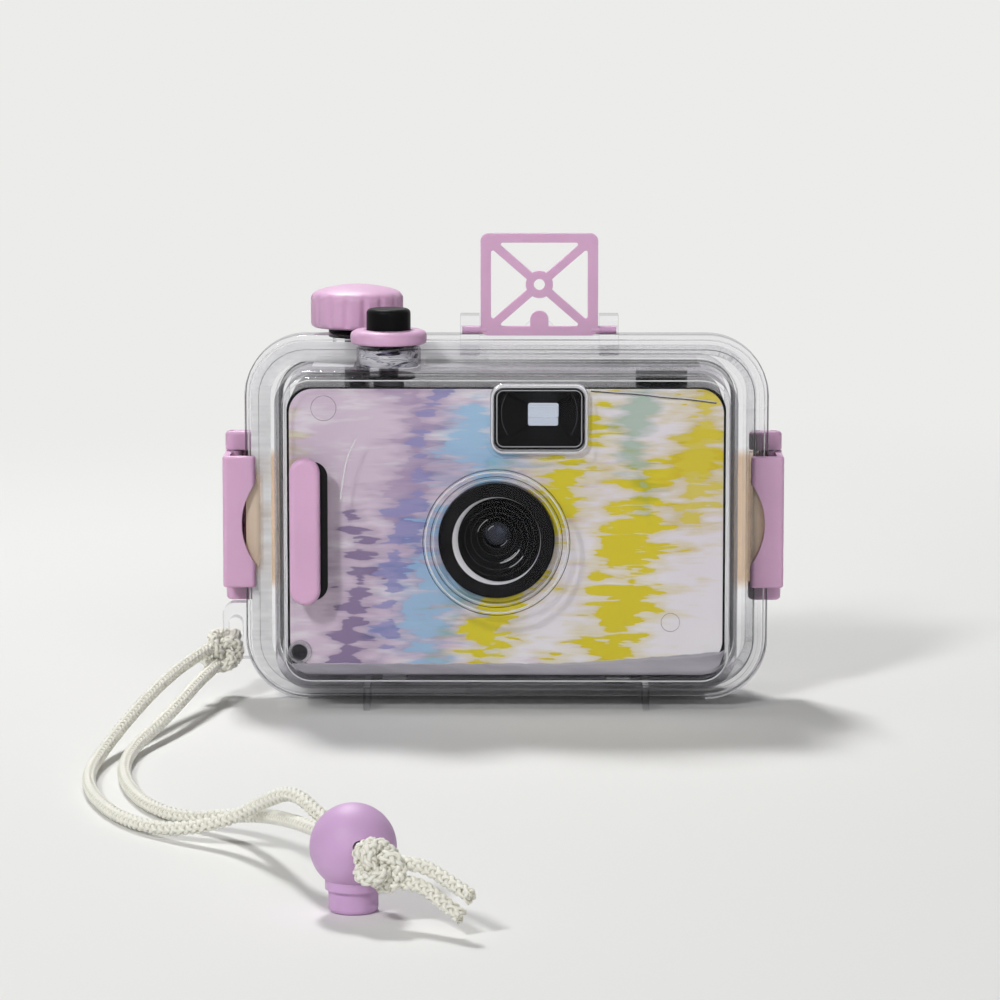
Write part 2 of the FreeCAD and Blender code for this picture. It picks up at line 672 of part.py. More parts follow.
def back_shell():
    flange = slab_y(0, FLANGE_MID_Z, FLANGE_WIDTH, FLANGE_HEIGHT, FLANGE_CORNER,
                    MATING_PLANE, BACK_FLANGE_FACE)
    flange = round_edges(flange, 0.8, lambda p: near(p.y, BACK_FLANGE_FACE))
    case = slab_y(0, POCKET_MID_Z, POCKET_WIDTH, POCKET_HEIGHT, POCKET_CORNER, MATING_PLANE, REAR_FACE)
    case = round_edges(case, POCKET_EDGE_ROUND, lambda p: near(p.y, REAR_FACE))
    wind_boss = cylinder_z(WIND_X, WIND_Y, POCKET_TOP - 1, WIND_BOSS_TOP, WIND_BOSS_RADIUS)
    eyepiece_frame = slab_y(SIGHT_X, FINDER_Z, FINDER_WIDTH - 2, FINDER_HEIGHT - 2, FINDER_CORNER,
                            REAR_FACE - 1, REAR_FACE + 1.0)
    eyepiece_well = slab_y(SIGHT_X, FINDER_Z, FINDER_WIDTH - 5, FINDER_HEIGHT - 5, FINDER_CORNER - 1,
                           REAR_FACE, REAR_FACE + 2)
    plate, slot = lug_plate()
    parts = [flange, case, wind_boss, eyepiece_frame, plate]
    rail_height = LEVER_HEIGHT - 2 * LEVER_GAP_Z
    for side in (-1, 1):
        axis_x = latch_axes(side)[0]
        z0 = LATCH_Z - rail_height / 2
        z1 = LATCH_Z + rail_height / 2
        parts.append(cylinder_z(axis_x, LATCH_PIN_Y, z0, z1, KNUCKLE_RADIUS))
        parts.append(box(axis_x - KNUCKLE_RADIUS, axis_x + KNUCKLE_RADIUS,
                         BACK_FLANGE_FACE - 1, LATCH_PIN_Y, z0, z1))
        x = side * FOOT_SPREAD
        parts.append(box(x - FOOT_THICKNESS / 2, x + FOOT_THICKNESS / 2, BACK_FLANGE_FACE - 1,
                         REAR_FACE - 4, 0, POCKET_BOTTOM + 1))
    shell = fuse_all(parts)
    inner = slab_y(0, POCKET_MID_Z, INNER_WIDTH, INNER_HEIGHT, INNER_CORNER, MATING_PLANE - 1, INNER_REAR)
    inner = round_edges(inner, POCKET_EDGE_ROUND - SHELL_WALL, lambda p: near(p.y, INNER_REAR))
    bush_hole = cylinder_z(WIND_X, WIND_Y, INNER_CEILING - 1, WIND_BOSS_TOP + 1, BUSH_SLEEVE_RADIUS + FIT)
    seal_groove = seal_loop(SEAL_WIDTH + 2 * SEAL_SIDE_GAP, MATING_PLANE - 1, MATING_PLANE + SEAL_HEIGHT)
    bush_notch = cylinder_z(WIND_X, WIND_Y, WIND_BOSS_TOP, FLANGE_HEIGHT + 1, BUSH_FLANGE_RADIUS + 0.2)
    tools = [inner, bush_hole, bush_notch, slot, eyepiece_well, seal_groove]
    for side in (-1, 1):
        tools.append(cylinder_z(latch_axes(side)[0], LATCH_PIN_Y, 0, FLANGE_HEIGHT, LATCH_PIN_RADIUS + FIT))
    shell = cut_all(shell, tools)
    for side in (-1, 1):
        x = side * CRADLE_SPREAD
        rib = box(x - CRADLE_WIDTH / 2, x + CRADLE_WIDTH / 2, MATING_PLANE, CAMERA_REAR,
                  INNER_FLOOR - 0.5, CAMERA_BOTTOM)
        shell = shell.fuse(rib)
        stop = cylinder_y(side * GATE_WIDTH, CAMERA_MID_Z, CAMERA_REAR + DOOR_THICKNESS, INNER_REAR + 0.5, 3.0)
        shell = shell.fuse(stop)
    return shell.removeSplitter()


def main_seal():
    return seal_loop(SEAL_WIDTH, MATING_PLANE, MATING_PLANE + SEAL_HEIGHT)


# Housing: release group

def shutter_collar():
    """Fat rounded collar pressed on the boss, with a lip that keeps the button in."""
    z0 = boss_top()
    z1 = z0 + COLLAR_HEIGHT
    lip = z1 - BUTTON_LIP
    outer = COLLAR_RADIUS
    r = COLLAR_HEIGHT / 2
    mid = (z0 + z1) / 2
    bulge = r * 0.86
    edges = [
        Part.LineSegment(V(BUTTON_RADIUS + COLLAR_GAP, 0, z1), V(outer - r, 0, z1)),
        Part.Arc(V(outer - r, 0, z1), V(outer, 0, mid), V(outer - r, 0, z0)),
        Part.LineSegment(V(outer - r, 0, z0), V(BOSS_COUNTERBORE_RADIUS, 0, z0)),
        Part.LineSegment(V(BOSS_COUNTERBORE_RADIUS, 0, z0), V(BOSS_COUNTERBORE_RADIUS, 0, lip)),
        Part.LineSegment(V(BOSS_COUNTERBORE_RADIUS, 0, lip), V(BUTTON_RADIUS + COLLAR_GAP, 0, lip)),
        Part.LineSegment(V(BUTTON_RADIUS + COLLAR_GAP, 0, lip), V(BUTTON_RADIUS + COLLAR_GAP, 0, z1)),
    ]
    face = Part.Face(Part.Wire([edge.toShape() for edge in edges]))
    face.translate(V(RELEASE_X, RELEASE_Y, 0))
    return face.revolve(V(RELEASE_X, RELEASE_Y, 0), V(0, 0, 1), 360)


def shutter_button():
    """Hollow push button with a flange under the collar's lip and a socket for the stem."""
    top = boss_top() + COLLAR_HEIGHT + BUTTON_STAND
    flange_top = boss_top() + COLLAR_HEIGHT - BUTTON_LIP - 0.2
    flange_bottom = flange_top - BUTTON_WALL
    body = cylinder_z(RELEASE_X, RELEASE_Y, flange_bottom, top, BUTTON_RADIUS)
    body = round_edges(body, 1.2, lambda p: near(p.z, top))
    body = body.fuse(cylinder_z(RELEASE_X, RELEASE_Y, flange_bottom, flange_top, BUTTON_FLANGE_RADIUS))
    seat = top - SPRING_SEAT
    cavity = cylinder_z(RELEASE_X, RELEASE_Y, flange_bottom - 1, seat, BUTTON_RADIUS - BUTTON_WALL)
    core = cylinder_z(RELEASE_X, RELEASE_Y, seat - 4.0, seat + 0.5, STEM_RADIUS + 0.7)
    socket = cylinder_z(RELEASE_X, RELEASE_Y, seat - 5.0, seat, STEM_RADIUS + FIT)
    return body.cut(cavity).fuse(core).cut(socket).removeSplitter()


def shutter_plunger():
    """Stem from the button down through the boss, with the foot disc under the top wall."""
    top = boss_top() + COLLAR_HEIGHT + BUTTON_STAND - SPRING_SEAT - FIT
    foot_top = INNER_CEILING - TOUCH_GAP
    stem = cylinder_z(RELEASE_X, RELEASE_Y, foot_top - FOOT_DISC_HEIGHT, top, STEM_RADIUS)
    foot = cylinder_z(RELEASE_X, RELEASE_Y, foot_top - FOOT_DISC_HEIGHT, foot_top, FOOT_DISC_RADIUS)
    return stem.fuse(foot).removeSplitter()


def shutter_o_ring():
    z0 = boss_top() - BOSS_COUNTERBORE_DEPTH
    ring = tube_z(RELEASE_X, RELEASE_Y, z0, z0 + 1.0, RELEASE_SPRING_RADIUS - RELEASE_SPRING_WIRE,
                  STEM_RADIUS + RUNNING)
    return ring


def shutter_spring():
    z0 = boss_top() - BOSS_COUNTERBORE_DEPTH + FIT
    z1 = boss_top() + COLLAR_HEIGHT + BUTTON_STAND - SPRING_SEAT - FIT
    return coil_spring(RELEASE_X, RELEASE_Y, z0, z1, RELEASE_SPRING_RADIUS, RELEASE_SPRING_WIRE,
                       RELEASE_SPRING_TURNS)


# Housing: wind group

def wind_knob():
    """Domed knob with a scalloped side, on the flatted top of the shaft."""
    z0 = WIND_BOSS_TOP + BUSH_FLANGE_HEIGHT + LOOSE
    z1 = z0 + KNOB_HEIGHT
    dome_start = z1 - KNOB_DOME
    cap = KNOB_RADIUS - 3.4
    edges = [
        Part.LineSegment(V(0, 0, z0), V(KNOB_RADIUS - 0.6, 0, z0)),
        Part.LineSegment(V(KNOB_RADIUS - 0.6, 0, z0), V(KNOB_RADIUS, 0, z0 + 0.6)),
        Part.LineSegment(V(KNOB_RADIUS, 0, z0 + 0.6), V(KNOB_RADIUS, 0, dome_start)),
        Part.Arc(V(KNOB_RADIUS, 0, dome_start), V(KNOB_RADIUS - 0.9, 0, z1 - 1.3),
                 V(KNOB_RADIUS - 3.4, 0, z1 - 0.3)),
        Part.Arc(V(cap, 0, z1 - 0.3), V(cap / 2, 0, cap_middle(cap, z1 - 0.3, z1)), V(0, 0, z1)),
        Part.LineSegment(V(0, 0, z1), V(0, 0, z0)),
    ]
    knob = Part.Face(Part.Wire([edge.toShape() for edge in edges])).revolve(V(0, 0, 0), V(0, 0, 1), 360)
    knob.translate(V(WIND_X, WIND_Y, 0))
    reach = KNOB_RADIUS + KNOB_FLUTE_RADIUS * 0.45
    for i in range(KNOB_FLUTES):
        angle = 2 * math.pi * (i + 0.5) / KNOB_FLUTES
        flute = cylinder_z(WIND_X + reach * math.cos(angle), WIND_Y + reach * math.sin(angle),
                           z0 - 1, z1 + 1, KNOB_FLUTE_RADIUS)
        knob = knob.cut(flute)
    socket = cylinder_z(WIND_X, WIND_Y, z0 - 1, z0 + KNOB_SOCKET, WIND_SHAFT_RADIUS + FIT)
    flat = box(WIND_X - 5, WIND_X + 5, WIND_Y + SHAFT_FLAT + FIT, WIND_Y + 5, z0 - 2, z1)
    return knob.cut(socket.cut(flat)).removeSplitter()


def wind_bush():
    """Flanged black bush pressed in the boss, with a seat for the shaft's seal."""
    top = WIND_BOSS_TOP + BUSH_FLANGE_HEIGHT
    profile = [
        (WIND_SHAFT_RADIUS + RUNNING, INNER_CEILING),
        (BUSH_SLEEVE_RADIUS, INNER_CEILING),
        (BUSH_SLEEVE_RADIUS, WIND_BOSS_TOP),
        (BUSH_FLANGE_RADIUS, WIND_BOSS_TOP),
        (BUSH_FLANGE_RADIUS, top - 0.5),
        (BUSH_FLANGE_RADIUS - 0.5, top),
        (WIND_SEAL_RADIUS + FIT, top),
        (WIND_SEAL_RADIUS + FIT, top - WIND_SEAL_HEIGHT),
        (WIND_SHAFT_RADIUS + RUNNING, top - WIND_SEAL_HEIGHT),
    ]
    return revolve_z(WIND_X, WIND_Y, profile)


def wind_seal():
    top = WIND_BOSS_TOP + BUSH_FLANGE_HEIGHT
    return tube_z(WIND_X, WIND_Y, top - WIND_SEAL_HEIGHT, top - FIT, WIND_SEAL_RADIUS,
                  WIND_SHAFT_RADIUS + RUNNING)


def wind_shaft():
    """Shaft with a flatted top for the knob, a clip groove and a blade that drives the wheel."""
    z0 = WIND_BOSS_TOP + BUSH_FLANGE_HEIGHT + LOOSE
    shaft = cylinder_z(WIND_X, WIND_Y, CLIP_Z - 0.6, z0 + KNOB_SOCKET - FIT, WIND_SHAFT_RADIUS)
    flat = box(WIND_X - 5, WIND_X + 5, WIND_Y + SHAFT_FLAT, WIND_Y + 5, z0, z0 + KNOB_SOCKET + 1)
    groove = tube_z(WIND_X, WIND_Y, CLIP_Z, CLIP_Z + CLIP_THICKNESS, WIND_SHAFT_RADIUS + 1, CLIP_INNER_RADIUS)
    blade = box(WIND_X - FORK_WIDTH / 2, WIND_X + FORK_WIDTH / 2, WIND_Y - FORK_THICKNESS / 2,
                WIND_Y + FORK_THICKNESS / 2, CAMERA_TOP - FORK_REACH, CLIP_Z - 0.5)
    return shaft.cut(flat).cut(groove).fuse(blade).removeSplitter()


def wind_clip():
    """Open retaining ring in the shaft's groove, under the top wall."""
    ring = tube_z(WIND_X, WIND_Y, CLIP_Z + FIT, CLIP_Z + CLIP_THICKNESS - FIT, BUSH_SLEEVE_RADIUS + 0.4,
                  CLIP_INNER_RADIUS + FIT)
    gap = box(WIND_X - 1.2, WIND_X + 1.2, WIND_Y, WIND_Y + 6, CLIP_Z - 1, CLIP_Z + 2)
    return ring.cut(gap)


# Housing: sight frame

def sight_frame():
    """Folding frame finder: outer frame, diagonals to a hub with a hole, friction tab and two pins."""
    bottom = SIGHT_AXIS_Z - SIGHT_BELOW_AXIS
    middle_z = bottom + SIGHT_HEIGHT / 2
    y0 = SIGHT_AXIS_Y - SIGHT_THICKNESS / 2
    y1 = SIGHT_AXIS_Y + SIGHT_THICKNESS / 2
    outer = slab_y(SIGHT_X, middle_z, SIGHT_WIDTH, SIGHT_HEIGHT, 2.0, y0, y1)
    inner_width = SIGHT_WIDTH - 2 * SIGHT_SIDE_BAR
    inner_height = SIGHT_HEIGHT - 2 * SIGHT_END_BAR
    window = slab_y(SIGHT_X, middle_z, inner_width, inner_height, 0.5, y0 - 1, y1 + 1)
    cross = []
    lean = math.degrees(math.atan2(inner_height, inner_width))
    span = math.hypot(inner_width, inner_height) + 1.0
    for side in (-1, 1):
        bar = box(-span / 2, span / 2, y0, y1, -SIGHT_DIAGONAL / 2, SIGHT_DIAGONAL / 2)
        bar.rotate(V(0, 0, 0), V(0, 1, 0), side * lean)
        bar.translate(V(SIGHT_X, 0, middle_z))
        cross.append(bar)
    hub = cylinder_y(SIGHT_X, middle_z, y0, y1, SIGHT_HUB_RADIUS)
    clip = slab_y(SIGHT_X, middle_z, inner_width + 2, inner_height + 2, 0.5, y0, y1)
    web = fuse_all(cross + [hub]).common(clip)
    frame = outer.cut(window).fuse(web).removeSplitter()
    corners = [e for e in frame.Edges if abs(e.tangentAt(e.FirstParameter).y) > 0.99 and
               near(e.Length, SIGHT_THICKNESS) and inside_sight(e.valueAt(e.FirstParameter), middle_z)]
    frame = frame.makeFillet(SIGHT_WEB_ROUND, corners)
    tab = cylinder_y(SIGHT_X, bottom + SIGHT_END_BAR + 1.6, y0, y1, SIGHT_TAB_RADIUS)
    tab = tab.fuse(box(SIGHT_X - SIGHT_TAB_RADIUS, SIGHT_X + SIGHT_TAB_RADIUS, y0, y1,
                       bottom + 0.5, bottom + SIGHT_END_BAR + 1.6))
    frame = frame.fuse(tab)
    for side in (-1, 1):
        start = SIGHT_X + side * (SIGHT_WIDTH / 2 - 1.5)
        end = SIGHT_X + side * (SIGHT_WIDTH / 2 + SIGHT_PIN_LENGTH)
        pin = cylinder_x(SIGHT_AXIS_Y, SIGHT_AXIS_Z, min(start, end), max(start, end), SIGHT_PIN_RADIUS)
        frame = frame.fuse(pin)
    frame = frame.cut(cylinder_y(SIGHT_X, middle_z, y0 - 1, y1 + 1, SIGHT_HOLE_RADIUS))
    return frame.removeSplitter()


def inside_sight(point, middle_z):
    """True for the corners of the four triangular windows."""
    return (abs(point.x - SIGHT_X) < SIGHT_WIDTH / 2 - SIGHT_SIDE_BAR + 0.1
            and abs(point.z - middle_z) < SIGHT_HEIGHT / 2 - SIGHT_END_BAR + 0.1
            and math.hypot(point.x - SIGHT_X, point.z - middle_z) > SIGHT_HUB_RADIUS + 1.5)


# Housing: latches

def along_side(side, inner_x, outer_x):
    """Order two X places measured on the right side, mirrored for the left."""
    a = side * inner_x
    b = side * outer_x
    return min(a, b), max(a, b)


def latch_lever(side):
    """Channel lever: barrel on its pin, outer web, and a front leg with a round thumb notch."""
    stand = LEFT_STAND if side < 0 else RIGHT_STAND
    axis_x = latch_axes(side)[1]
    z0 = LATCH_Z - LEVER_HEIGHT / 2
    z1 = LATCH_Z + LEVER_HEIGHT / 2
    front = FRONT_FLANGE_FACE - TOUCH_GAP - LEVER_WALL
    outer_x = FLANGE_EDGE + stand
    leg = along_side(side, outer_x - LEVER_WIDTH, outer_x)
    web = along_side(side, outer_x - LEVER_WALL, outer_x)
    body = box(leg[0], leg[1], front, front + LEVER_WALL, z0, z1)
    body = body.fuse(box(web[0], web[1], front, LATCH_PIN_Y, z0, z1)).removeSplitter()
    body = round_edges(body, LEVER_ROUND, lambda p: near(p.z, LATCH_Z) and near(p.y, front))
    body = round_edges(body, 0.6, lambda p: (near(p.z, z0) or near(p.z, z1)) and near(p.y, front))
    body = body.fuse(cylinder_z(axis_x, LATCH_PIN_Y, z0, z1, KNUCKLE_RADIUS)).removeSplitter()
    inner_edge = side * (outer_x - LEVER_WIDTH)
    notch = cylinder_y(inner_edge - side * (NOTCH_RADIUS - NOTCH_DEPTH), LATCH_Z - 0.5, front - 1,
                       front + LEVER_WALL + 0.5, NOTCH_RADIUS)
    body = body.cut(notch)
    body = body.cut(cylinder_z(axis_x, LATCH_PIN_Y, z0 - 1, z1 + 1, LATCH_PIN_RADIUS + RUNNING))
    return body.removeSplitter()


def latch_link(side):
    """Link frame: two end knuckles joined by a bar that passes behind the rail."""
    fixed_x, lever_x = latch_axes(side)
    half = LEVER_HEIGHT / 2
    low = min(fixed_x, lever_x)
    high = max(fixed_x, lever_x)
    knuckles = []
    for end in (-1, 1):
        a = LATCH_Z + end * (half + LEVER_GAP_Z)
        b = a + end * KNUCKLE_HEIGHT
        z0, z1 = min(a, b), max(a, b)
        plate = box(low, high, LATCH_PIN_Y - KNUCKLE_RADIUS, LATCH_PIN_Y + KNUCKLE_RADIUS, z0, z1)
        plate = plate.fuse(cylinder_z(fixed_x, LATCH_PIN_Y, z0, z1, KNUCKLE_RADIUS))
        plate = plate.fuse(cylinder_z(lever_x, LATCH_PIN_Y, z0, z1, KNUCKLE_RADIUS)).removeSplitter()
        far = z0 if end < 0 else z1
        plate = round_edges(plate, 1.0, lambda p: near(p.z, far))
        knuckles.append(plate)
    back = LATCH_PIN_Y + KNUCKLE_RADIUS
    bar_y0 = back + LOOSE
    bar_y1 = bar_y0 + LINK_BAR_THICKNESS
    reach = half + LEVER_GAP_Z + KNUCKLE_HEIGHT - 1.2
    bar = box(low, high, bar_y0, bar_y1, LATCH_Z - reach, LATCH_Z + reach)
    for end in (-1, 1):
        a = LATCH_Z + end * (half + LEVER_GAP_Z)
        b = LATCH_Z + end * reach
        bar = bar.fuse(box(low, high, LATCH_PIN_Y, bar_y1, min(a, b), max(a, b)))
    link = fuse_all(knuckles + [bar])
    top = LATCH_Z + half + KNUCKLE_HEIGHT + 1
    bottom = LATCH_Z - half - KNUCKLE_HEIGHT - 1
    link = link.cut(cylinder_z(fixed_x, LATCH_PIN_Y, bottom, top, LATCH_PIN_RADIUS + RUNNING))
    link = link.cut(cylinder_z(lever_x, LATCH_PIN_Y, bottom, top, LATCH_PIN_RADIUS + FIT))
    return link.removeSplitter()


def latch_pin(side, which):
    """Straight steel pin; which is 0 for the link's axis in the rail and 1 for the lever's."""
    x = latch_axes(side)[which]
    half = LEVER_HEIGHT / 2 + LEVER_GAP_Z + KNUCKLE_HEIGHT - 0.4
    return cylinder_z(x, LATCH_PIN_Y, LATCH_Z - half, LATCH_Z + half, LATCH_PIN_RADIUS)


# Housing: grip

def grip_base():
    y1 = FRONT_FACE
    y0 = y1 - GRIP_BASE_THICKNESS
    return slab_y(GRIP_X + GRIP_BASE_SHIFT, GRIP_Z, GRIP_WIDTH, GRIP_BASE_HEIGHT, GRIP_WIDTH / 2 - 0.01,
                  y0, y1)


def grip_cap():
    y1 = FRONT_FACE - GRIP_BASE_THICKNESS
    y0 = y1 - GRIP_CAP_THICKNESS
    cap = slab_y(GRIP_X, GRIP_Z, GRIP_WIDTH, GRIP_HEIGHT, GRIP_WIDTH / 2 - 0.01, y0, y1)
    return round_edges(cap, GRIP_CAP_THICKNESS * 0.7, lambda p: near(p.y, y0))


# Lanyard

LOCK_AIM_X = math.cos(math.radians(LOCK_AIM))
LOCK_AIM_Y = math.sin(math.radians(LOCK_AIM))
CORD_Z = BALL_Z + 0.7


def on_lock(along, across, z):
    """Point near the ball, measured along its cord hole and across it."""
    return (BALL_X + along * LOCK_AIM_X - across * LOCK_AIM_Y,
            BALL_Y + along * LOCK_AIM_Y + across * LOCK_AIM_X, z)


STRAND_OFFSET = CORD_DIAMETER / 2 + 0.1

STRAND_A_ROUTE = [
    (-75.0, -8.2, 14.0),
    (-80.0, -22.0, 12.6),
    (-85.0, -42.0, 10.6),
    (-90.0, -64.0, 7.2),
    (-95.0, -86.0, 2.6),
    (-96.0, -111.0, 1.7),
    (-91.0, -137.0, 1.7),
    (-81.5, -159.5, 1.7),
    (-69.5, -171.5, 2.6),
    (-57.5, -178.5, 6.8),
    (-49.5, -190.5, 13.6),
    (-43.0, -203.0, 18.0),
    on_lock(-20.0, STRAND_OFFSET, 14.9),
    on_lock(-0.5, STRAND_OFFSET, CORD_Z + 0.1),
    on_lock(12.4, STRAND_OFFSET, CORD_Z - 0.7),
]

STRAND_B_ROUTE = [
    (-73.0, -8.2, 9.8),
    (-76.0, -22.0, 8.8),
    (-79.0, -40.0, 7.0),
    (-83.0, -58.0, 4.6),
    (-88.0, -76.0, 2.2),
    (-88.8, -98.0, 1.7),
    (-85.5, -121.0, 1.7),
    (-79.0, -142.0, 1.7),
    (-69.5, -157.0, 2.2),
    (-59.0, -165.0, 4.6),
    (-51.5, -178.5, 7.6),
    (-45.8, -196.0, 10.6),
    on_lock(-20.0, -STRAND_OFFSET, 13.6),
    on_lock(-0.5, -STRAND_OFFSET, CORD_Z + 0.1),
    on_lock(12.4, -STRAND_OFFSET, CORD_Z - 0.7),
]

END_KNOT = on_lock(13.8, 0.4, BALL_Z - 2.2)

TAIL_A_ROUTE = [
    (END_KNOT[0] + 2.4, END_KNOT[1] + 1.4, 12.4),
    (-15.8, -247.0, 12.6),
    (-10.4, -252.8, 10.6),
    (-5.6, -258.4, 8.4),
]

TAIL_B_ROUTE = [
    (END_KNOT[0] + 2.4, END_KNOT[1] + 0.6, 8.6),
    (-16.6, -248.0, 9.0),
    (-11.8, -253.0, 6.8),
    (-7.8, -257.6, 4.2),
]


def lug_knot():
    """Knot in front of the lug, with the short loop of cord that goes through the slot."""
    centre = V(LUG_EDGE, LUG_KNOT_Y, LUG_KNOT_Z)
    knot = Part.makeSphere(LUG_KNOT_RADIUS, centre)
    x0 = LUG_EDGE - CORD_DIAMETER / 2 - 0.1
    x1 = LUG_EDGE + LUG_STRIP + CORD_DIAMETER / 2 + 0.1
    back = BACK_FLANGE_FACE + CORD_DIAMETER / 2 + 0.5
    loop_z = LUG_LOOP_Z
    r = (x1 - x0) / 2
    start = V(x0, LUG_KNOT_Y + 1.5, loop_z)
    end = V(x1, LUG_KNOT_Y + 1.5, loop_z)
    edges = [
        Part.LineSegment(start, V(x0, back - r, loop_z)).toShape(),
        Part.Arc(V(x0, back - r, loop_z), V(x0 + r, back, loop_z), V(x1, back - r, loop_z)).toShape(),
        Part.LineSegment(V(x1, back - r, loop_z), end).toShape(),
    ]
    return knot.fuse(Part.Wire(edges).makePipeShell([Part.Wire(Part.Circle(start, V(0, 1, 0),
                     CORD_DIAMETER / 2).toShape())], True, False)).removeSplitter()


def end_knot():
    knot = Part.makeSphere(END_KNOT_RADIUS, V(*END_KNOT))
    return knot


def ball_cavity():
    """Stepped bore up from the bottom of the ball: wide for the button, narrower for its plunger."""
    shoulder = LOCK_BUTTON_STAND + LOCK_STROKE + LOOSE
    wide = cylinder_z(BALL_X, BALL_Y, -1, shoulder + LOOSE, LOCK_BUTTON_RADIUS + 0.08)
    top = CORD_Z + LOCK_CAVITY_ABOVE
    narrow = cylinder_z(BALL_X, BALL_Y, 0, top, LOCK_PLUNGER_RADIUS + 0.1)
    return wide.fuse(narrow)


def cord_hole(width, low, high, length):
    """Flat slot along the cord's line for both strands side by side."""
    hole = slab_y(0, 0, width, high - low, CORD_DIAMETER / 2, -length / 2, length / 2)
    hole.rotate(V(0, 0, 0), V(0, 0, 1), LOCK_AIM + 90)
    hole.translate(V(BALL_X, BALL_Y, (low + high) / 2))
    return hole


def lock_ball():
    ball = Part.makeSphere(BALL_RADIUS, V(BALL_X, BALL_Y, BALL_Z))
    neck = cylinder_z(BALL_X, BALL_Y, LOCK_BUTTON_STAND, BALL_Z, BALL_NECK_RADIUS)
    ball = ball.fuse(neck).cut(ball_cavity())
    width = 2 * (STRAND_OFFSET + CORD_DIAMETER / 2) + 2 * LOOSE
    low = CORD_Z - CORD_DIAMETER / 2 - 0.7
    high = CORD_Z + CORD_DIAMETER / 2 + 0.7
    return ball.cut(cord_hole(width, low, high, 3 * BALL_RADIUS)).removeSplitter()


def lock_button():
    """Push button with the plunger and its cross slot in one moulding."""
    button = cylinder_z(BALL_X, BALL_Y, 0, LOCK_BUTTON_STAND + LOOSE, LOCK_BUTTON_RADIUS)
    button = round_edges(button, 1.0, lambda p: near(p.z, 0))
    top = CORD_Z + CORD_DIAMETER / 2 + 0.3 + LOCK_BRIDGE
    plunger = cylinder_z(BALL_X, BALL_Y, LOCK_BUTTON_STAND, top, LOCK_PLUNGER_RADIUS)
    width = 2 * (STRAND_OFFSET + CORD_DIAMETER / 2) + 2 * LOOSE
    high = CORD_Z + CORD_DIAMETER / 2 + 0.3
    low = CORD_Z - CORD_DIAMETER / 2 - 0.3 - LOCK_STROKE
    return button.fuse(plunger).cut(cord_hole(width, low, high, 4 * LOCK_PLUNGER_RADIUS)).removeSplitter()


def lock_spring():
    top = CORD_Z + LOCK_CAVITY_ABOVE
    low = CORD_Z + CORD_DIAMETER / 2 + 0.3 + LOCK_BRIDGE
    return coil_spring(BALL_X, BALL_Y, low + FIT, top - FIT, LOCK_SPRING_RADIUS, LOCK_SPRING_WIRE, 2)


# Film camera: body and covers

def camera_outline(y0, y1):
    return slab_y(0, CAMERA_MID_Z, CAMERA_WIDTH, CAMERA_HEIGHT, CAMERA_CORNER, y0, y1)


def finder_block(grow, y0, y1):
    width = FINDER_WIDTH - 2 * FINDER_RIM + 2 * grow
    height = FINDER_HEIGHT - 2 * FINDER_RIM + 2 * grow
    return slab_y(SIGHT_X, FINDER_Z, width, height, FINDER_CORNER - FINDER_RIM, y0, y1)


def finder_tunnel(grow, y0, y1):
    return slab_y(SIGHT_X, FINDER_Z, TUNNEL_WIDTH + 2 * grow, TUNNEL_HEIGHT + 2 * grow, 1.0, y0, y1)


def light_tunnel(grow, extra):
    """Frustum from the aperture wall to the film gate."""
    near_y = BARREL_WALL_FACE + BARREL_WALL
    start = rounded_outline(8 + 2 * grow, 7 + 2 * grow, 1.0)
    end = rounded_outline(GATE_WIDTH + 2 * grow, GATE_HEIGHT + 2 * grow, 1.0)
    for wire, y in ((start, near_y - extra), (end, FILM_PLANE - RAIL_HEIGHT + extra)):
        wire.rotate(V(0, 0, 0), V(1, 0, 0), 90)
        wire.translate(V(LENS_X, y, LENS_Z))
    return Part.makeLoft([start, end], True, True)


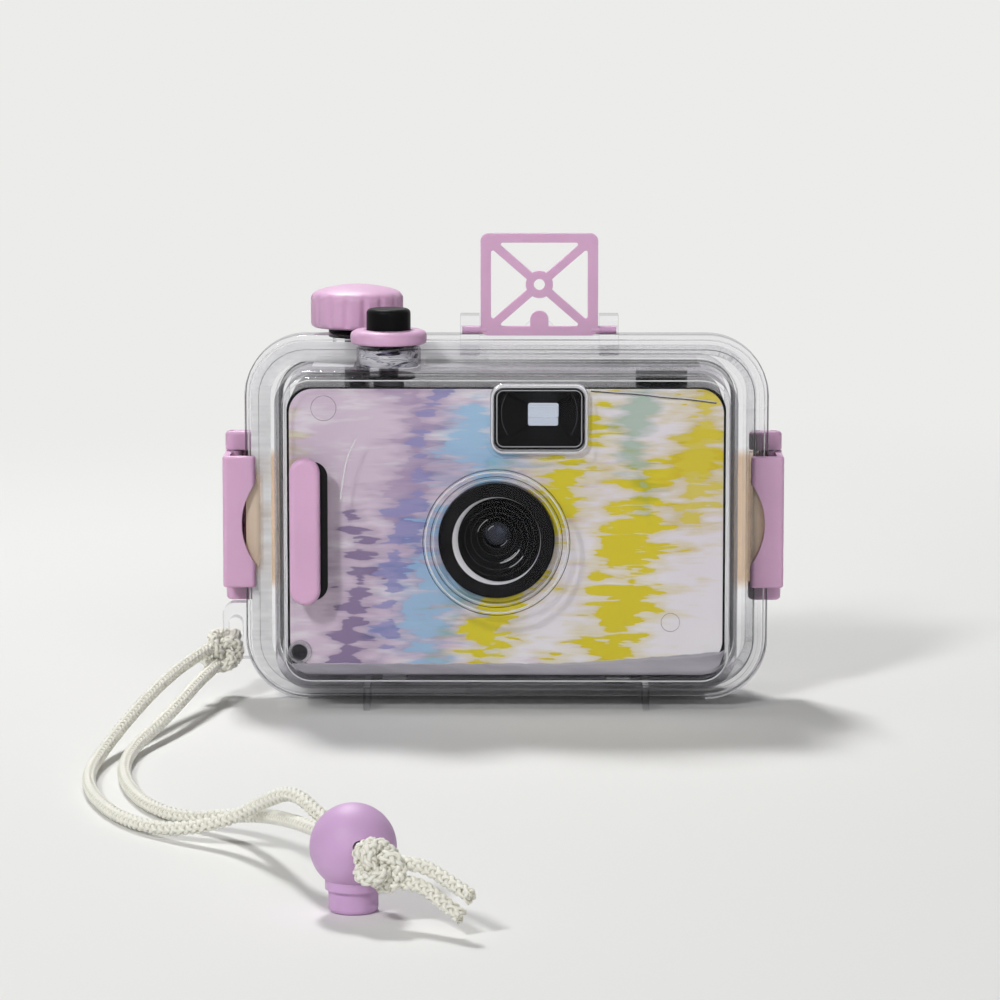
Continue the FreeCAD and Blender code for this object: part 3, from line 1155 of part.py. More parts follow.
def camera_body():
    y0, y1 = CAMERA_FRONT, CAMERA_REAR
    w = CAMERA_WALL
    shell = camera_outline(y0, y1)
    hollow = slab_y(0, CAMERA_MID_Z, CAMERA_WIDTH - 2 * w, CAMERA_HEIGHT - 2 * w, CAMERA_CORNER - w,
                    y0 + w, y1 + 1)
    everything = camera_outline(y0, y1)
    shell = shell.cut(hollow)
    rear_strip = box(-CAMERA_WIDTH / 2 + 1, CAMERA_WIDTH / 2 - 1, y1 - w, y1, DOOR_TOP, COVER_BOTTOM)
    floor = box(-CAMERA_WIDTH / 2 + 1, CAMERA_WIDTH / 2 - 1, y0 + 1, y1 - 0.5,
                CHAMBER_FLOOR - PLATE_THICKNESS, CHAMBER_FLOOR)
    roof = box(-CAMERA_WIDTH / 2 + 1, CAMERA_WIDTH / 2 - 1, y0 + 1, y1 - 0.5,
               CHAMBER_ROOF, CHAMBER_ROOF + PLATE_THICKNESS)
    chambers = []
    bores = []
    for x in (SPOOL_X, CASSETTE_X):
        outer = CHAMBER_RADIUS + CHAMBER_WALL
        chambers.append(cylinder_z(x, SPOOL_Y, CHAMBER_FLOOR - 0.5, CHAMBER_ROOF + 0.5, outer))
        bores.append(cylinder_z(x, SPOOL_Y, CHAMBER_FLOOR, CHAMBER_ROOF, CHAMBER_RADIUS))
        bores.append(box(x - CHAMBER_RADIUS, x + CHAMBER_RADIUS, SPOOL_Y, y1 + 3,
                         CHAMBER_FLOOR, CHAMBER_ROOF))
    film_plate = box(SPOOL_X + CHAMBER_RADIUS, CASSETTE_X - CHAMBER_RADIUS, FILM_PLANE - RAIL_HEIGHT - 1.2,
                     FILM_PLANE - RAIL_HEIGHT, CHAMBER_FLOOR - 0.5, CHAMBER_ROOF + 0.5)
    barrel = cylinder_y(LENS_X, LENS_Z, y0, BARREL_WALL_FACE + BARREL_WALL,
                        LENS_BORE_RADIUS + BARREL_THICKNESS)
    tunnel_out = light_tunnel(TUNNEL_WALL, 0)
    finder_out = finder_tunnel(1.2, y0 + 1, y1)
    funnel_out = finder_block(1.0, y0 + 0.5, FINDER_FUNNEL_REAR + 1.0)
    shelf = box(RELEASE_X - 5, RELEASE_X + 5, y0 + 1, RELEASE_Y + 5, SHELF_TOP - 1.4, SHELF_TOP)
    solid = fuse_all([shell, rear_strip, floor, roof, film_plate, barrel, tunnel_out, finder_out, funnel_out,
                      shelf] + chambers)
    solid = solid.common(everything)
    solid = cut_all(solid, bores)
    rails = []
    for side in (-1, 1):
        z = LENS_Z + side * (GATE_HEIGHT / 2 + 1.5)
        rails.append(box(LENS_X - GATE_WIDTH / 2, LENS_X + GATE_WIDTH / 2 + 2, FILM_PLANE - RAIL_HEIGHT - 0.2,
                         FILM_PLANE, z - 0.7, z + 0.7))
    solid = fuse_all([solid] + rails)
    x, y = SPROCKET_X, SPROCKET_Y
    clearance = SPROCKET_RADIUS + SPROCKET_TOOTH + LOOSE
    tools = [
        light_tunnel(0, 0.02),
        cylinder_y(LENS_X, LENS_Z, y0 - 1, BARREL_WALL_FACE, LENS_BORE_RADIUS),
        cylinder_y(LENS_X, LENS_Z, BARREL_WALL_FACE - 1, BARREL_WALL_FACE + 3, APERTURE_RADIUS),
        finder_tunnel(0, y0 - 1, y1 + 1),
        finder_block(FIT, y0 - 1, FINDER_FUNNEL_REAR),
        box(-CAMERA_WIDTH, CAMERA_WIDTH, y0 - 1, y1 + 1, COVER_BOTTOM, CAMERA_TOP + 1),
        cylinder_z(WIND_X, WIND_Y, WHEEL_BOTTOM - 0.4, WHEEL_BOTTOM + WHEEL_THICKNESS + 0.4,
                   WHEEL_RADIUS + 0.6),
        cylinder_z(WIND_X, WIND_Y, WHEEL_BOTTOM, COVER_BOTTOM + 1, WHEEL_HUB_RADIUS + 2 * LOOSE),
        cylinder_z(WIND_X, WIND_Y, CHAMBER_ROOF + PLATE_THICKNESS, WHEEL_BOTTOM, PINION_TIP + LOOSE),
        cylinder_z(WIND_X, WIND_Y, CHAMBER_ROOF - 1, CHAMBER_ROOF + 3, AXLE_RADIUS + RUNNING),
        cylinder_z(SPOOL_X, SPOOL_Y, CHAMBER_ROOF - 1, CHAMBER_ROOF + 3, SPOOL_NECK_RADIUS + RUNNING),
        cylinder_z(SPOOL_X, SPOOL_Y, CHAMBER_FLOOR - 3, CHAMBER_FLOOR + 1, SPOOL_NECK_RADIUS + RUNNING),
        cylinder_z(CASSETTE_X, SPOOL_Y, CHAMBER_ROOF - 1, CHAMBER_ROOF + 3, SPOOL_NECK_RADIUS + RUNNING),
        cylinder_z(x, y, CHAMBER_FLOOR, CHAMBER_ROOF, SPROCKET_SHAFT_RADIUS + 4 * LOOSE),
        cylinder_z(x, y, CHAMBER_FLOOR - 3, CHAMBER_ROOF + 3, SPROCKET_PIVOT_RADIUS + RUNNING),
        cylinder_y(SCREW_X, SCREW_Z, y0 - 1, y0 + 6, SCREW_SHANK_RADIUS + FIT),
    ]
    for row in (-1, 1):
        z = LENS_Z + row * PERFORATION_SPACING / 2
        half = SPROCKET_THICKNESS / 2 + LOOSE
        tools.append(cylinder_z(x, y, z - half, z + half, clearance))
    solid = cut_all(solid, tools)
    boss_x, boss_z = shutter_pivot()
    spacer = cylinder_y(boss_x, boss_z, BLADE_FACE + SHUTTER_THICKNESS + 0.1, BARREL_WALL_FACE + 0.2, 1.4)
    solid = solid.fuse(spacer).cut(cylinder_y(boss_x, boss_z, BLADE_FACE - 2, BARREL_WALL_FACE + 0.8,
                                              SHUTTER_PIN_RADIUS + FIT))
    return solid.removeSplitter()


def camera_top_cover():
    y0, y1 = CAMERA_FRONT, CAMERA_REAR
    w = CAMERA_WALL
    above = box(-CAMERA_WIDTH, CAMERA_WIDTH, y0 - 1, y1 + 1, COVER_BOTTOM, CAMERA_TOP + 1)
    cover = camera_outline(y0, y1).common(above)
    reach = CAMERA_WIDTH / 2 - 3 * w
    hollow = box(-reach, reach, y0 + w, y1 - w, COVER_BOTTOM - 1, CAMERA_TOP - COVER_SKIN)
    tools = [
        hollow,
        finder_block(FIT, y0 - 1, FINDER_FUNNEL_REAR),
        cylinder_z(WIND_X, WIND_Y, COVER_BOTTOM - 1, CAMERA_TOP + 1, WHEEL_HUB_RADIUS + LOOSE),
        cylinder_z(RELEASE_X, RELEASE_Y, COVER_BOTTOM - 1, CAMERA_TOP + 1, RELEASE_BUTTON_RADIUS + 0.1),
        cylinder_z(CASSETTE_X, SPOOL_Y, COVER_BOTTOM - 1, CAMERA_TOP + 1, SPOOL_NECK_RADIUS + RUNNING),
        cylinder_z(SPROCKET_X, SPROCKET_Y, COVER_BOTTOM - 1, CAMERA_TOP - 0.6, COUNTER_PIN_RADIUS + RUNNING),
        cylinder_z(SPROCKET_X, SPROCKET_Y - COUNTER_RADIUS + 1.8, CAMERA_TOP - 2, CAMERA_TOP + 1, 1.2),
    ]
    return cut_all(cover, tools).removeSplitter()


def camera_back_door():
    """Back door on the rear rim, with a shallow recess for the film's label window."""
    z0 = CAMERA_BOTTOM + DOOR_ROUND
    z1 = DOOR_TOP - TOUCH_GAP
    y0 = CAMERA_REAR
    y1 = y0 + DOOR_THICKNESS
    door = slab_y(0, (z0 + z1) / 2, CAMERA_WIDTH - 2 * DOOR_MARGIN, z1 - z0, CAMERA_CORNER, y0, y1)
    door = round_edges(door, DOOR_ROUND, lambda p: near(p.y, y1))
    window = slab_y(CASSETTE_X - DOOR_WINDOW_SHIFT, LENS_Z, DOOR_WINDOW_WIDTH, DOOR_WINDOW_HEIGHT, 2.0,
                    y1 - DOOR_WINDOW_DEPTH, y1 + 1)
    return door.cut(window)


def print_panel():
    """Thin printed sheet on the camera's front, cut out round the lens, finder and screw."""
    y1 = CAMERA_FRONT
    y0 = y1 - PANEL_THICKNESS
    width = CAMERA_WIDTH - 2 * PANEL_INSET_X
    panel = slab_y(0, (PANEL_TOP + PANEL_BOTTOM) / 2, width, PANEL_TOP - PANEL_BOTTOM, CAMERA_CORNER, y0, y1)
    tools = [
        cylinder_y(LENS_X, LENS_Z, y0 - 1, y1 + 1, LENS_RING_RADIUS + 0.1),
        slab_y(SIGHT_X, FINDER_Z, FINDER_WIDTH - 2 * FINDER_RIM + 2 * FIT,
               FINDER_HEIGHT - 2 * FINDER_RIM + 2 * FIT, FINDER_CORNER - FINDER_RIM, y0 - 1, y1 + 1),
        cylinder_y(SCREW_X, SCREW_Z, y0 - 1, y1 + 1, SCREW_RADIUS + 0.1),
    ]
    return cut_all(panel, tools)


def camera_screw():
    y1 = CAMERA_FRONT
    head = cylinder_y(SCREW_X, SCREW_Z, y1 - 2 * SCREW_SLOT, y1, SCREW_RADIUS)
    shank = cylinder_y(SCREW_X, SCREW_Z, y1 - 0.1, y1 + 3 * SCREW_SHANK_RADIUS, SCREW_SHANK_RADIUS)
    long = SCREW_SHANK_RADIUS
    short = SCREW_SLOT / 2
    cross = box(SCREW_X - long, SCREW_X + long, y1 - 2, y1 - SCREW_SLOT, SCREW_Z - short, SCREW_Z + short)
    other = box(SCREW_X - short, SCREW_X + short, y1 - 2, y1 - SCREW_SLOT, SCREW_Z - long, SCREW_Z + long)
    return head.fuse(shank).cut(cross).cut(other)


# Film camera: lens and shutter

def lens_ring():
    y0 = CAMERA_FRONT - LENS_RING_STAND
    ring = tube_y(LENS_X, LENS_Z, y0, CAMERA_FRONT, LENS_RING_RADIUS, LENS_BORE_RADIUS)

    def outer_front(p):
        return near(p.y, y0) and math.hypot(p.x - LENS_X, p.z - LENS_Z) > LENS_RING_RADIUS - 1

    return chamfer_edges(ring, 0.4, outer_front)


def lens_bezel():
    y0 = CAMERA_FRONT - LENS_RING_STAND + 0.1
    y1 = CAMERA_FRONT + 0.1
    outer = LENS_BORE_RADIUS - FIT
    profile = [(outer, y0), (outer, y1), (CONE_FRONT_RADIUS, y1), (outer - BEZEL_WALL, y0)]
    return revolve_y(LENS_X, LENS_Z, profile)


def lens_cone():
    """Black funnel with light-trapping steps from the bezel down to the glass."""
    front = CAMERA_FRONT + 0.1
    outer = LENS_BORE_RADIUS - FIT
    step_y = (CONE_REAR - front) / CONE_STEPS
    step_r = (CONE_FRONT_RADIUS - CONE_HOLE_RADIUS) / CONE_STEPS
    profile = [(outer, front), (outer, CONE_REAR), (CONE_HOLE_RADIUS, CONE_REAR)]
    for i in range(CONE_STEPS, 0, -1):
        radius = CONE_HOLE_RADIUS + step_r * (CONE_STEPS - i)
        profile.append((radius, front + step_y * (i - 1) + 0.3))
        profile.append((radius + step_r, front + step_y * (i - 1)))
    return revolve_y(LENS_X, LENS_Z, profile)


def lens_holder():
    outer = LENS_BORE_RADIUS - FIT
    inner = ELEMENT_RADIUS + FIT
    lip = HOLDER_REAR - 0.5
    profile = [(outer, CONE_REAR), (outer, HOLDER_REAR), (inner - 0.8, HOLDER_REAR), (inner - 0.8, lip),
               (inner, lip), (inner, CONE_REAR)]
    return revolve_y(LENS_X, LENS_Z, profile)


def lens_element():
    """Glass element: flat edge held in the holder, domed front and back."""
    front = CONE_REAR + FIT
    back = front + ELEMENT_THICKNESS
    apex = front - ELEMENT_BULGE
    dome = CONE_HOLE_RADIUS - 0.1
    edges = [
        Part.Arc(V(0, apex, 0), V(dome / 2, cap_middle(dome, front, apex), 0), V(dome, front, 0)),
        Part.LineSegment(V(dome, front, 0), V(ELEMENT_RADIUS, front, 0)),
        Part.LineSegment(V(ELEMENT_RADIUS, front, 0), V(ELEMENT_RADIUS, back, 0)),
        Part.LineSegment(V(ELEMENT_RADIUS, back, 0), V(dome, back, 0)),
        Part.Arc(V(dome, back, 0), V(dome / 2, cap_middle(dome, back, back + 0.3), 0), V(0, back + 0.3, 0)),
        Part.LineSegment(V(0, back + 0.3, 0), V(0, apex, 0)),
    ]
    face = Part.Face(Part.Wire([edge.toShape() for edge in edges]))
    solid = face.revolve(V(0, 0, 0), V(0, 1, 0), 360)
    solid.translate(V(LENS_X, 0, LENS_Z))
    return solid


def shutter_pivot():
    return LENS_X + SHUTTER_PIVOT_RADIUS * math.cos(math.radians(30)), LENS_Z + SHUTTER_PIVOT_RADIUS * 0.5


def shutter_blade():
    """Thin leaf: disc over the aperture, arm and eye round the pivot pin."""
    px, pz = shutter_pivot()
    y0 = BLADE_FACE
    y1 = y0 + SHUTTER_THICKNESS
    disc = cylinder_y(LENS_X, LENS_Z, y0, y1, SHUTTER_BLADE_RADIUS)
    eye = cylinder_y(px, pz, y0, y1, 1.5)
    arm = box(0, SHUTTER_PIVOT_RADIUS, y0, y1, -1.0, 1.0)
    arm.rotate(V(0, 0, 0), V(0, 1, 0), -30)
    arm.translate(V(LENS_X, 0, LENS_Z))
    return fuse_all([disc, eye, arm]).cut(cylinder_y(px, pz, y0 - 1, y1 + 1, SHUTTER_PIN_RADIUS + RUNNING))


def shutter_pin():
    px, pz = shutter_pivot()
    return cylinder_y(px, pz, BLADE_FACE - 0.3, BARREL_WALL_FACE + 0.7, SHUTTER_PIN_RADIUS)


# Film camera: viewfinder

def viewfinder_rim():
    y0 = CAMERA_FRONT - FINDER_STAND
    y1 = CAMERA_FRONT - PANEL_THICKNESS
    rim = slab_y(SIGHT_X, FINDER_Z, FINDER_WIDTH, FINDER_HEIGHT, FINDER_CORNER, y0, y1)
    rim = round_edges(rim, 0.4, lambda p: near(p.y, y0))
    return rim.cut(finder_block(0, y0 - 1, y1 + 1))


def viewfinder_frame():
    """Black block with a funnel that narrows to the see-through window."""
    y0 = CAMERA_FRONT - FINDER_STAND + 0.3
    y1 = FINDER_FUNNEL_REAR
    block = finder_block(0, y0, y1)
    wall = 0.8 + FINDER_RIM
    start = rounded_outline(FINDER_WIDTH - 2 * wall, FINDER_HEIGHT - 2 * wall, FINDER_CORNER - wall)
    end = rounded_outline(FUNNEL_WIDTH, FUNNEL_HEIGHT, 0.6)
    for wire, x, y in ((start, SIGHT_X, y0 - 0.01), (end, SIGHT_X + FUNNEL_SHIFT, y1 + 0.01)):
        wire.rotate(V(0, 0, 0), V(1, 0, 0), 90)
        wire.translate(V(x, y, FINDER_Z))
    return block.cut(Part.makeLoft([start, end], True, True))


def viewfinder_front_lens():
    return finder_tunnel(-FIT, FINDER_FUNNEL_REAR, FINDER_FUNNEL_REAR + FINDER_LENS)


def viewfinder_eyepiece():
    return finder_tunnel(-FIT, CAMERA_REAR - FINDER_LENS, CAMERA_REAR)


# Film camera: release, wind and film transport

def release_button():
    """Camera's own button under the housing's foot disc, with a flange under the cover's skin."""
    top = CAMERA_TOP + RELEASE_RISE
    flange_top = CAMERA_TOP - COVER_SKIN - TOUCH_GAP
    body = cylinder_z(RELEASE_X, RELEASE_Y, RELEASE_SEAT, top, RELEASE_BUTTON_RADIUS)
    body = round_edges(body, 0.5, lambda p: near(p.z, top))
    flange = cylinder_z(RELEASE_X, RELEASE_Y, RELEASE_SEAT, flange_top, RELEASE_FLANGE_RADIUS)
    stem_bottom = SHELF_TOP + BUTTON_STROKE + LOOSE
    stem = cylinder_z(RELEASE_X, RELEASE_Y, stem_bottom, RELEASE_SEAT + 0.1, AXLE_RADIUS)
    return fuse_all([body, flange, stem])


def release_spring():
    return coil_spring(RELEASE_X, RELEASE_Y, SHELF_TOP + FIT, RELEASE_SEAT - FIT, CAMERA_SPRING_RADIUS,
                       CAMERA_SPRING_WIRE, 2)


def advance_wheel():
    """Serrated thumb wheel with a slotted hub on top and a pinion and pivot below."""
    z0 = WHEEL_BOTTOM
    z1 = z0 + WHEEL_THICKNESS
    hub_top = COVER_BOTTOM + FORK_REACH - LOOSE
    wheel = cylinder_z(WIND_X, WIND_Y, z0, z1, WHEEL_RADIUS)
    for i in range(WHEEL_SERRATIONS):
        angle = 2 * math.pi * i / WHEEL_SERRATIONS
        x = WIND_X + (WHEEL_RADIUS + 0.3) * math.cos(angle)
        y = WIND_Y + (WHEEL_RADIUS + 0.3) * math.sin(angle)
        wheel = wheel.cut(cylinder_z(x, y, z0 - 1, z1 + 1, 0.7))
    hub = cylinder_z(WIND_X, WIND_Y, z1 - 0.1, hub_top, WHEEL_HUB_RADIUS)
    neck = cylinder_z(WIND_X, WIND_Y, GEAR_BOTTOM + GEAR_THICKNESS - 0.1, z0 + 0.1, SPOOL_NECK_RADIUS)
    pinion = gear(WIND_X, WIND_Y, GEAR_BOTTOM, GEAR_BOTTOM + GEAR_THICKNESS, PINION_TEETH, -90)
    pivot = cylinder_z(WIND_X, WIND_Y, CHAMBER_ROOF + 0.1, GEAR_BOTTOM + 0.1, AXLE_RADIUS)
    slot = box(WIND_X - FORK_WIDTH / 2 - 0.2, WIND_X + FORK_WIDTH / 2 + 0.2,
               WIND_Y - FORK_THICKNESS / 2 - 0.2, WIND_Y + FORK_THICKNESS / 2 + 0.2,
               CAMERA_TOP - FORK_REACH - LOOSE, hub_top + 1)
    return fuse_all([wheel, hub, neck, pinion, pivot]).cut(slot).removeSplitter()


def take_up_spool():
    """Slotted film spool between its necks in the chamber's floor and roof."""
    low = CHAMBER_FLOOR + LOOSE
    high = CHAMBER_ROOF - LOOSE
    core = cylinder_z(SPOOL_X, SPOOL_Y, low, high, SPOOL_CORE_RADIUS)
    bottom = cylinder_z(SPOOL_X, SPOOL_Y, low, low + 1.2, SPOOL_FLANGE_RADIUS)
    top = cylinder_z(SPOOL_X, SPOOL_Y, high - 1.2, high, SPOOL_FLANGE_RADIUS)
    neck = cylinder_z(SPOOL_X, SPOOL_Y, CHAMBER_FLOOR - PLATE_THICKNESS, GEAR_BOTTOM + GEAR_THICKNESS,
                      SPOOL_NECK_RADIUS)
    slot = box(SPOOL_X - 6, SPOOL_X + 6, SPOOL_Y - 0.5, SPOOL_Y + 0.5, LENS_Z - 12, LENS_Z + 12)
    return fuse_all([core, bottom, top, neck]).cut(slot).removeSplitter()


def spool_gear():
    z0 = GEAR_BOTTOM
    ring = gear(SPOOL_X, SPOOL_Y, z0, z0 + GEAR_THICKNESS, SPOOL_TEETH, 90 + 180 / SPOOL_TEETH)
    return ring.cut(cylinder_z(SPOOL_X, SPOOL_Y, z0 - 1, z0 + 5, SPOOL_NECK_RADIUS + FIT))


def sprocket_shaft():
    """Two eight-tooth sprockets on one shaft; its top pin runs up through the counter disc."""
    x, y = SPROCKET_X, SPROCKET_Y
    shaft = cylinder_z(x, y, CHAMBER_FLOOR + LOOSE, CHAMBER_ROOF - LOOSE, SPROCKET_SHAFT_RADIUS)
    pivot_top = CHAMBER_ROOF + PLATE_THICKNESS + 1
    pivot = cylinder_z(x, y, CHAMBER_FLOOR - PLATE_THICKNESS, pivot_top, SPROCKET_PIVOT_RADIUS)
    pin = cylinder_z(x, y, CHAMBER_ROOF, CAMERA_TOP - 0.8, COUNTER_PIN_RADIUS)
    collar = cylinder_z(x, y, COVER_BOTTOM - 0.7, COVER_BOTTOM + 0.1, COUNTER_PIN_RADIUS + 0.8)
    parts = [shaft, pivot, pin, collar]
    for row in (-1, 1):
        z = LENS_Z + row * PERFORATION_SPACING / 2
        z0 = z - SPROCKET_THICKNESS / 2
        z1 = z + SPROCKET_THICKNESS / 2
        parts.append(cylinder_z(x, y, z0, z1, SPROCKET_RADIUS))
        for i in range(SPROCKET_TEETH):
            angle = 360 / SPROCKET_TEETH * (i + 0.5)
            tooth = box(SPROCKET_RADIUS - 0.5, SPROCKET_RADIUS + SPROCKET_TOOTH, -0.6, 0.6,
                        z0 + 0.2, z1 - 0.2)
            tooth.rotate(V(0, 0, 0), V(0, 0, 1), angle)
            tooth.translate(V(x, y, 0))
            parts.append(tooth)
    return fuse_all(parts)


def counter_disc():
    """Frame counter: thin disc with a notched edge under the cover's window."""
    z0 = COVER_BOTTOM + 0.3
    z1 = z0 + COUNTER_THICKNESS
    disc = tube_z(SPROCKET_X, SPROCKET_Y, z0, z1, COUNTER_RADIUS, COUNTER_PIN_RADIUS + RUNNING)
    for i in range(18):
        angle = math.pi / 9 * i
        x = SPROCKET_X + COUNTER_RADIUS * math.cos(angle)
        y = SPROCKET_Y + COUNTER_RADIUS * math.sin(angle)
        disc = disc.cut(cylinder_z(x, y, z0 - 1, z1 + 1, 0.4))
    return disc


def rewind_knob():
    """Flat rewind knob on the cover, with a stem and a fork for the cassette's core."""
    z0 = CAMERA_TOP + TOUCH_GAP
    well_floor = REWIND_TOP - REWIND_WELL_DEPTH
    tip = CHAMBER_ROOF - REWIND_STEM_REACH
    half_grip = REWIND_GRIP_WIDTH / 2
    half_fork = REWIND_FORK_WIDTH / 2
    knob = cylinder_z(CASSETTE_X, SPOOL_Y, z0, REWIND_TOP, REWIND_RADIUS)
    grip = box(CASSETTE_X - REWIND_RADIUS, CASSETTE_X + REWIND_RADIUS,
               SPOOL_Y - half_grip, SPOOL_Y + half_grip, well_floor, REWIND_TOP + 1)
    well = cylinder_z(CASSETTE_X, SPOOL_Y, well_floor, REWIND_TOP + 1, REWIND_RADIUS - REWIND_WELL_DEPTH)
    well = well.cut(grip)
    stem = cylinder_z(CASSETTE_X, SPOOL_Y, tip, z0 + 0.1, SPOOL_NECK_RADIUS)
    gap = box(CASSETTE_X - REWIND_RADIUS, CASSETTE_X + REWIND_RADIUS,
              SPOOL_Y - half_fork, SPOOL_Y + half_fork, tip - 1, tip + REWIND_FORK_DEPTH)
    return knob.cut(well).fuse(stem).cut(gap).removeSplitter()


def pressure_plate():
    y0 = FILM_PLANE + PRESSURE_GAP
    return slab_y(LENS_X, LENS_Z, PRESSURE_WIDTH, PRESSURE_HEIGHT, 2.0, y0, y0 + PRESSURE_PLATE)


def pressure_spring():
    """Bowed leaf: its middle bears on the plate and its two feet on the door."""
    near_y = FILM_PLANE + PRESSURE_GAP + PRESSURE_PLATE
    far_y = CAMERA_REAR - LEAF_THICKNESS
    foot = LEAF_HALF_SPAN + LEAF_FOOT
    slant = LEAF_THICKNESS / 3
    inner_side = [(-foot, far_y), (-LEAF_HALF_SPAN, far_y), (-LEAF_HALF_CROWN, near_y),
                  (LEAF_HALF_CROWN, near_y), (LEAF_HALF_SPAN, far_y), (foot, far_y)]
    outer_side = [(foot, far_y), (LEAF_HALF_SPAN - slant, far_y), (LEAF_HALF_CROWN - slant, near_y),
                  (slant - LEAF_HALF_CROWN, near_y), (slant - LEAF_HALF_SPAN, far_y), (-foot, far_y)]
    points = [V(x, y, 0) for x, y in inner_side] + [V(x, y + LEAF_THICKNESS, 0) for x, y in outer_side]
    leaf = polygon_face(points).extrude(V(0, 0, LEAF_WIDTH))
    leaf.translate(V(LENS_X, 0, LENS_Z - LEAF_WIDTH / 2))
    return leaf


# Every node, one solid each

PIECES = {
    "front_shell": front_shell,
    "back_shell": back_shell,
    "main_seal": main_seal,
    "shutter_collar": shutter_collar,
    "shutter_button": shutter_button,
    "shutter_plunger": shutter_plunger,
    "shutter_o_ring": shutter_o_ring,
    "shutter_spring": shutter_spring,
    "wind_knob": wind_knob,
    "wind_bush": wind_bush,
    "wind_seal": wind_seal,
    "wind_shaft": wind_shaft,
    "wind_clip": wind_clip,
    "sight_frame": sight_frame,
    "grip_base": grip_base,
    "grip_cap": grip_cap,
    "lug_knot": lug_knot,
    "end_knot": end_knot,
    "lock_ball": lock_ball,
    "lock_button": lock_button,
    "lock_spring": lock_spring,
    "camera_body": camera_body,
    "camera_top_cover": camera_top_cover,
    "camera_back_door": camera_back_door,
    "print_panel": print_panel,
    "camera_screw": camera_screw,
    "lens_ring": lens_ring,
    "lens_bezel": lens_bezel,
    "lens_cone": lens_cone,
    "lens_holder": lens_holder,
    "lens_element": lens_element,
    "shutter_blade": shutter_blade,
    "shutter_pin": shutter_pin,
    "viewfinder_rim": viewfinder_rim,
    "viewfinder_frame": viewfinder_frame,
    "viewfinder_front_lens": viewfinder_front_lens,
    "viewfinder_eyepiece": viewfinder_eyepiece,
    "release_button": release_button,
    "release_spring": release_spring,
    "advance_wheel": advance_wheel,
    "take_up_spool": take_up_spool,
    "spool_gear": spool_gear,
    "sprocket_shaft": sprocket_shaft,
    "counter_disc": counter_disc,
    "rewind_knob": rewind_knob,
    "pressure_plate": pressure_plate,
    "pressure_spring": pressure_spring,
}

for name, make in PIECES.items():
    save(name, make())

for side, word in ((-1, "left"), (1, "right")):
    save(word + "_latch_lever", latch_lever(side))
    save(word + "_latch_link", latch_link(side))
    save(word + "_rail_pin", latch_pin(side, 0))
    save(word + "_lever_pin", latch_pin(side, 1))

save("strand_a", cord_tube("strand_a", STRAND_A_ROUTE, CORD_DIAMETER))
save("strand_b", cord_tube("strand_b", STRAND_B_ROUTE, CORD_DIAMETER))
save("tail_a", cord_tube("tail_a", TAIL_A_ROUTE, CORD_DIAMETER))
save("tail_b", cord_tube("tail_b", TAIL_B_ROUTE, CORD_DIAMETER))
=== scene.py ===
import json
import math
import random

import bmesh
import bpy
from mathutils import Matrix, Vector


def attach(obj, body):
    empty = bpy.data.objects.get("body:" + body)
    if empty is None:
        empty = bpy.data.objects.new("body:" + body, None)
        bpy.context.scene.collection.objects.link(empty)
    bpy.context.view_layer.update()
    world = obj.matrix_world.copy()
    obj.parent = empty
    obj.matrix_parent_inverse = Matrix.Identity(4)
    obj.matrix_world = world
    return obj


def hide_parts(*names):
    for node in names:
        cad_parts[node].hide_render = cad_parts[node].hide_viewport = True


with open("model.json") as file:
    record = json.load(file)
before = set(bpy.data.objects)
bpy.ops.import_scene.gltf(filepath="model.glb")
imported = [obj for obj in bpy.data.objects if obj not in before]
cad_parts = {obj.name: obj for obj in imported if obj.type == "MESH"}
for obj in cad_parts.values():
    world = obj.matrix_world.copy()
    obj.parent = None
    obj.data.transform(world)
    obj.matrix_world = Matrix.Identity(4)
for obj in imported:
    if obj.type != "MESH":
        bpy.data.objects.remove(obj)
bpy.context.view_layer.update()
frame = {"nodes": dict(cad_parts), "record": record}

# Looks of the underwater camera, in the CAD frame: X right, Y away, Z up. Blender counts in metres. Routes,
# outlines and profiles are given in millimetres, and the functions that draw them multiply by MM.

MM = 0.001
WHITE = (1, 1, 1, 1)
scene = bpy.context.scene
nodes = frame["nodes"]


# Camera at the photograph's viewing angle

CAMERA_PLACE = (0.006, -1.100, 0.2053)
CAMERA_TILT = 82
CAMERA_TURN = 0.4
SENSOR_WIDTH = 36
FOCAL_LENGTH = 158.08

camera_data = bpy.data.cameras.new("camera")
camera = bpy.data.objects.new("camera", camera_data)
scene.collection.objects.link(camera)
camera.location = CAMERA_PLACE
camera.rotation_euler = (math.radians(CAMERA_TILT), 0, math.radians(CAMERA_TURN))
camera_data.sensor_width = SENSOR_WIDTH
camera_data.lens = FOCAL_LENGTH
camera_data.clip_start = 0.05
camera_data.clip_end = 20
scene.camera = camera


# Node helpers

def linear(r, g, b):
    """An sRGB colour, 0 to 255, as linear RGBA."""
    values = []
    for channel in (r, g, b):
        c = channel / 255
        values.append(c / 12.92 if c <= 0.04045 else ((c + 0.055) / 1.055) ** 2.4)
    return (*values, 1.0)


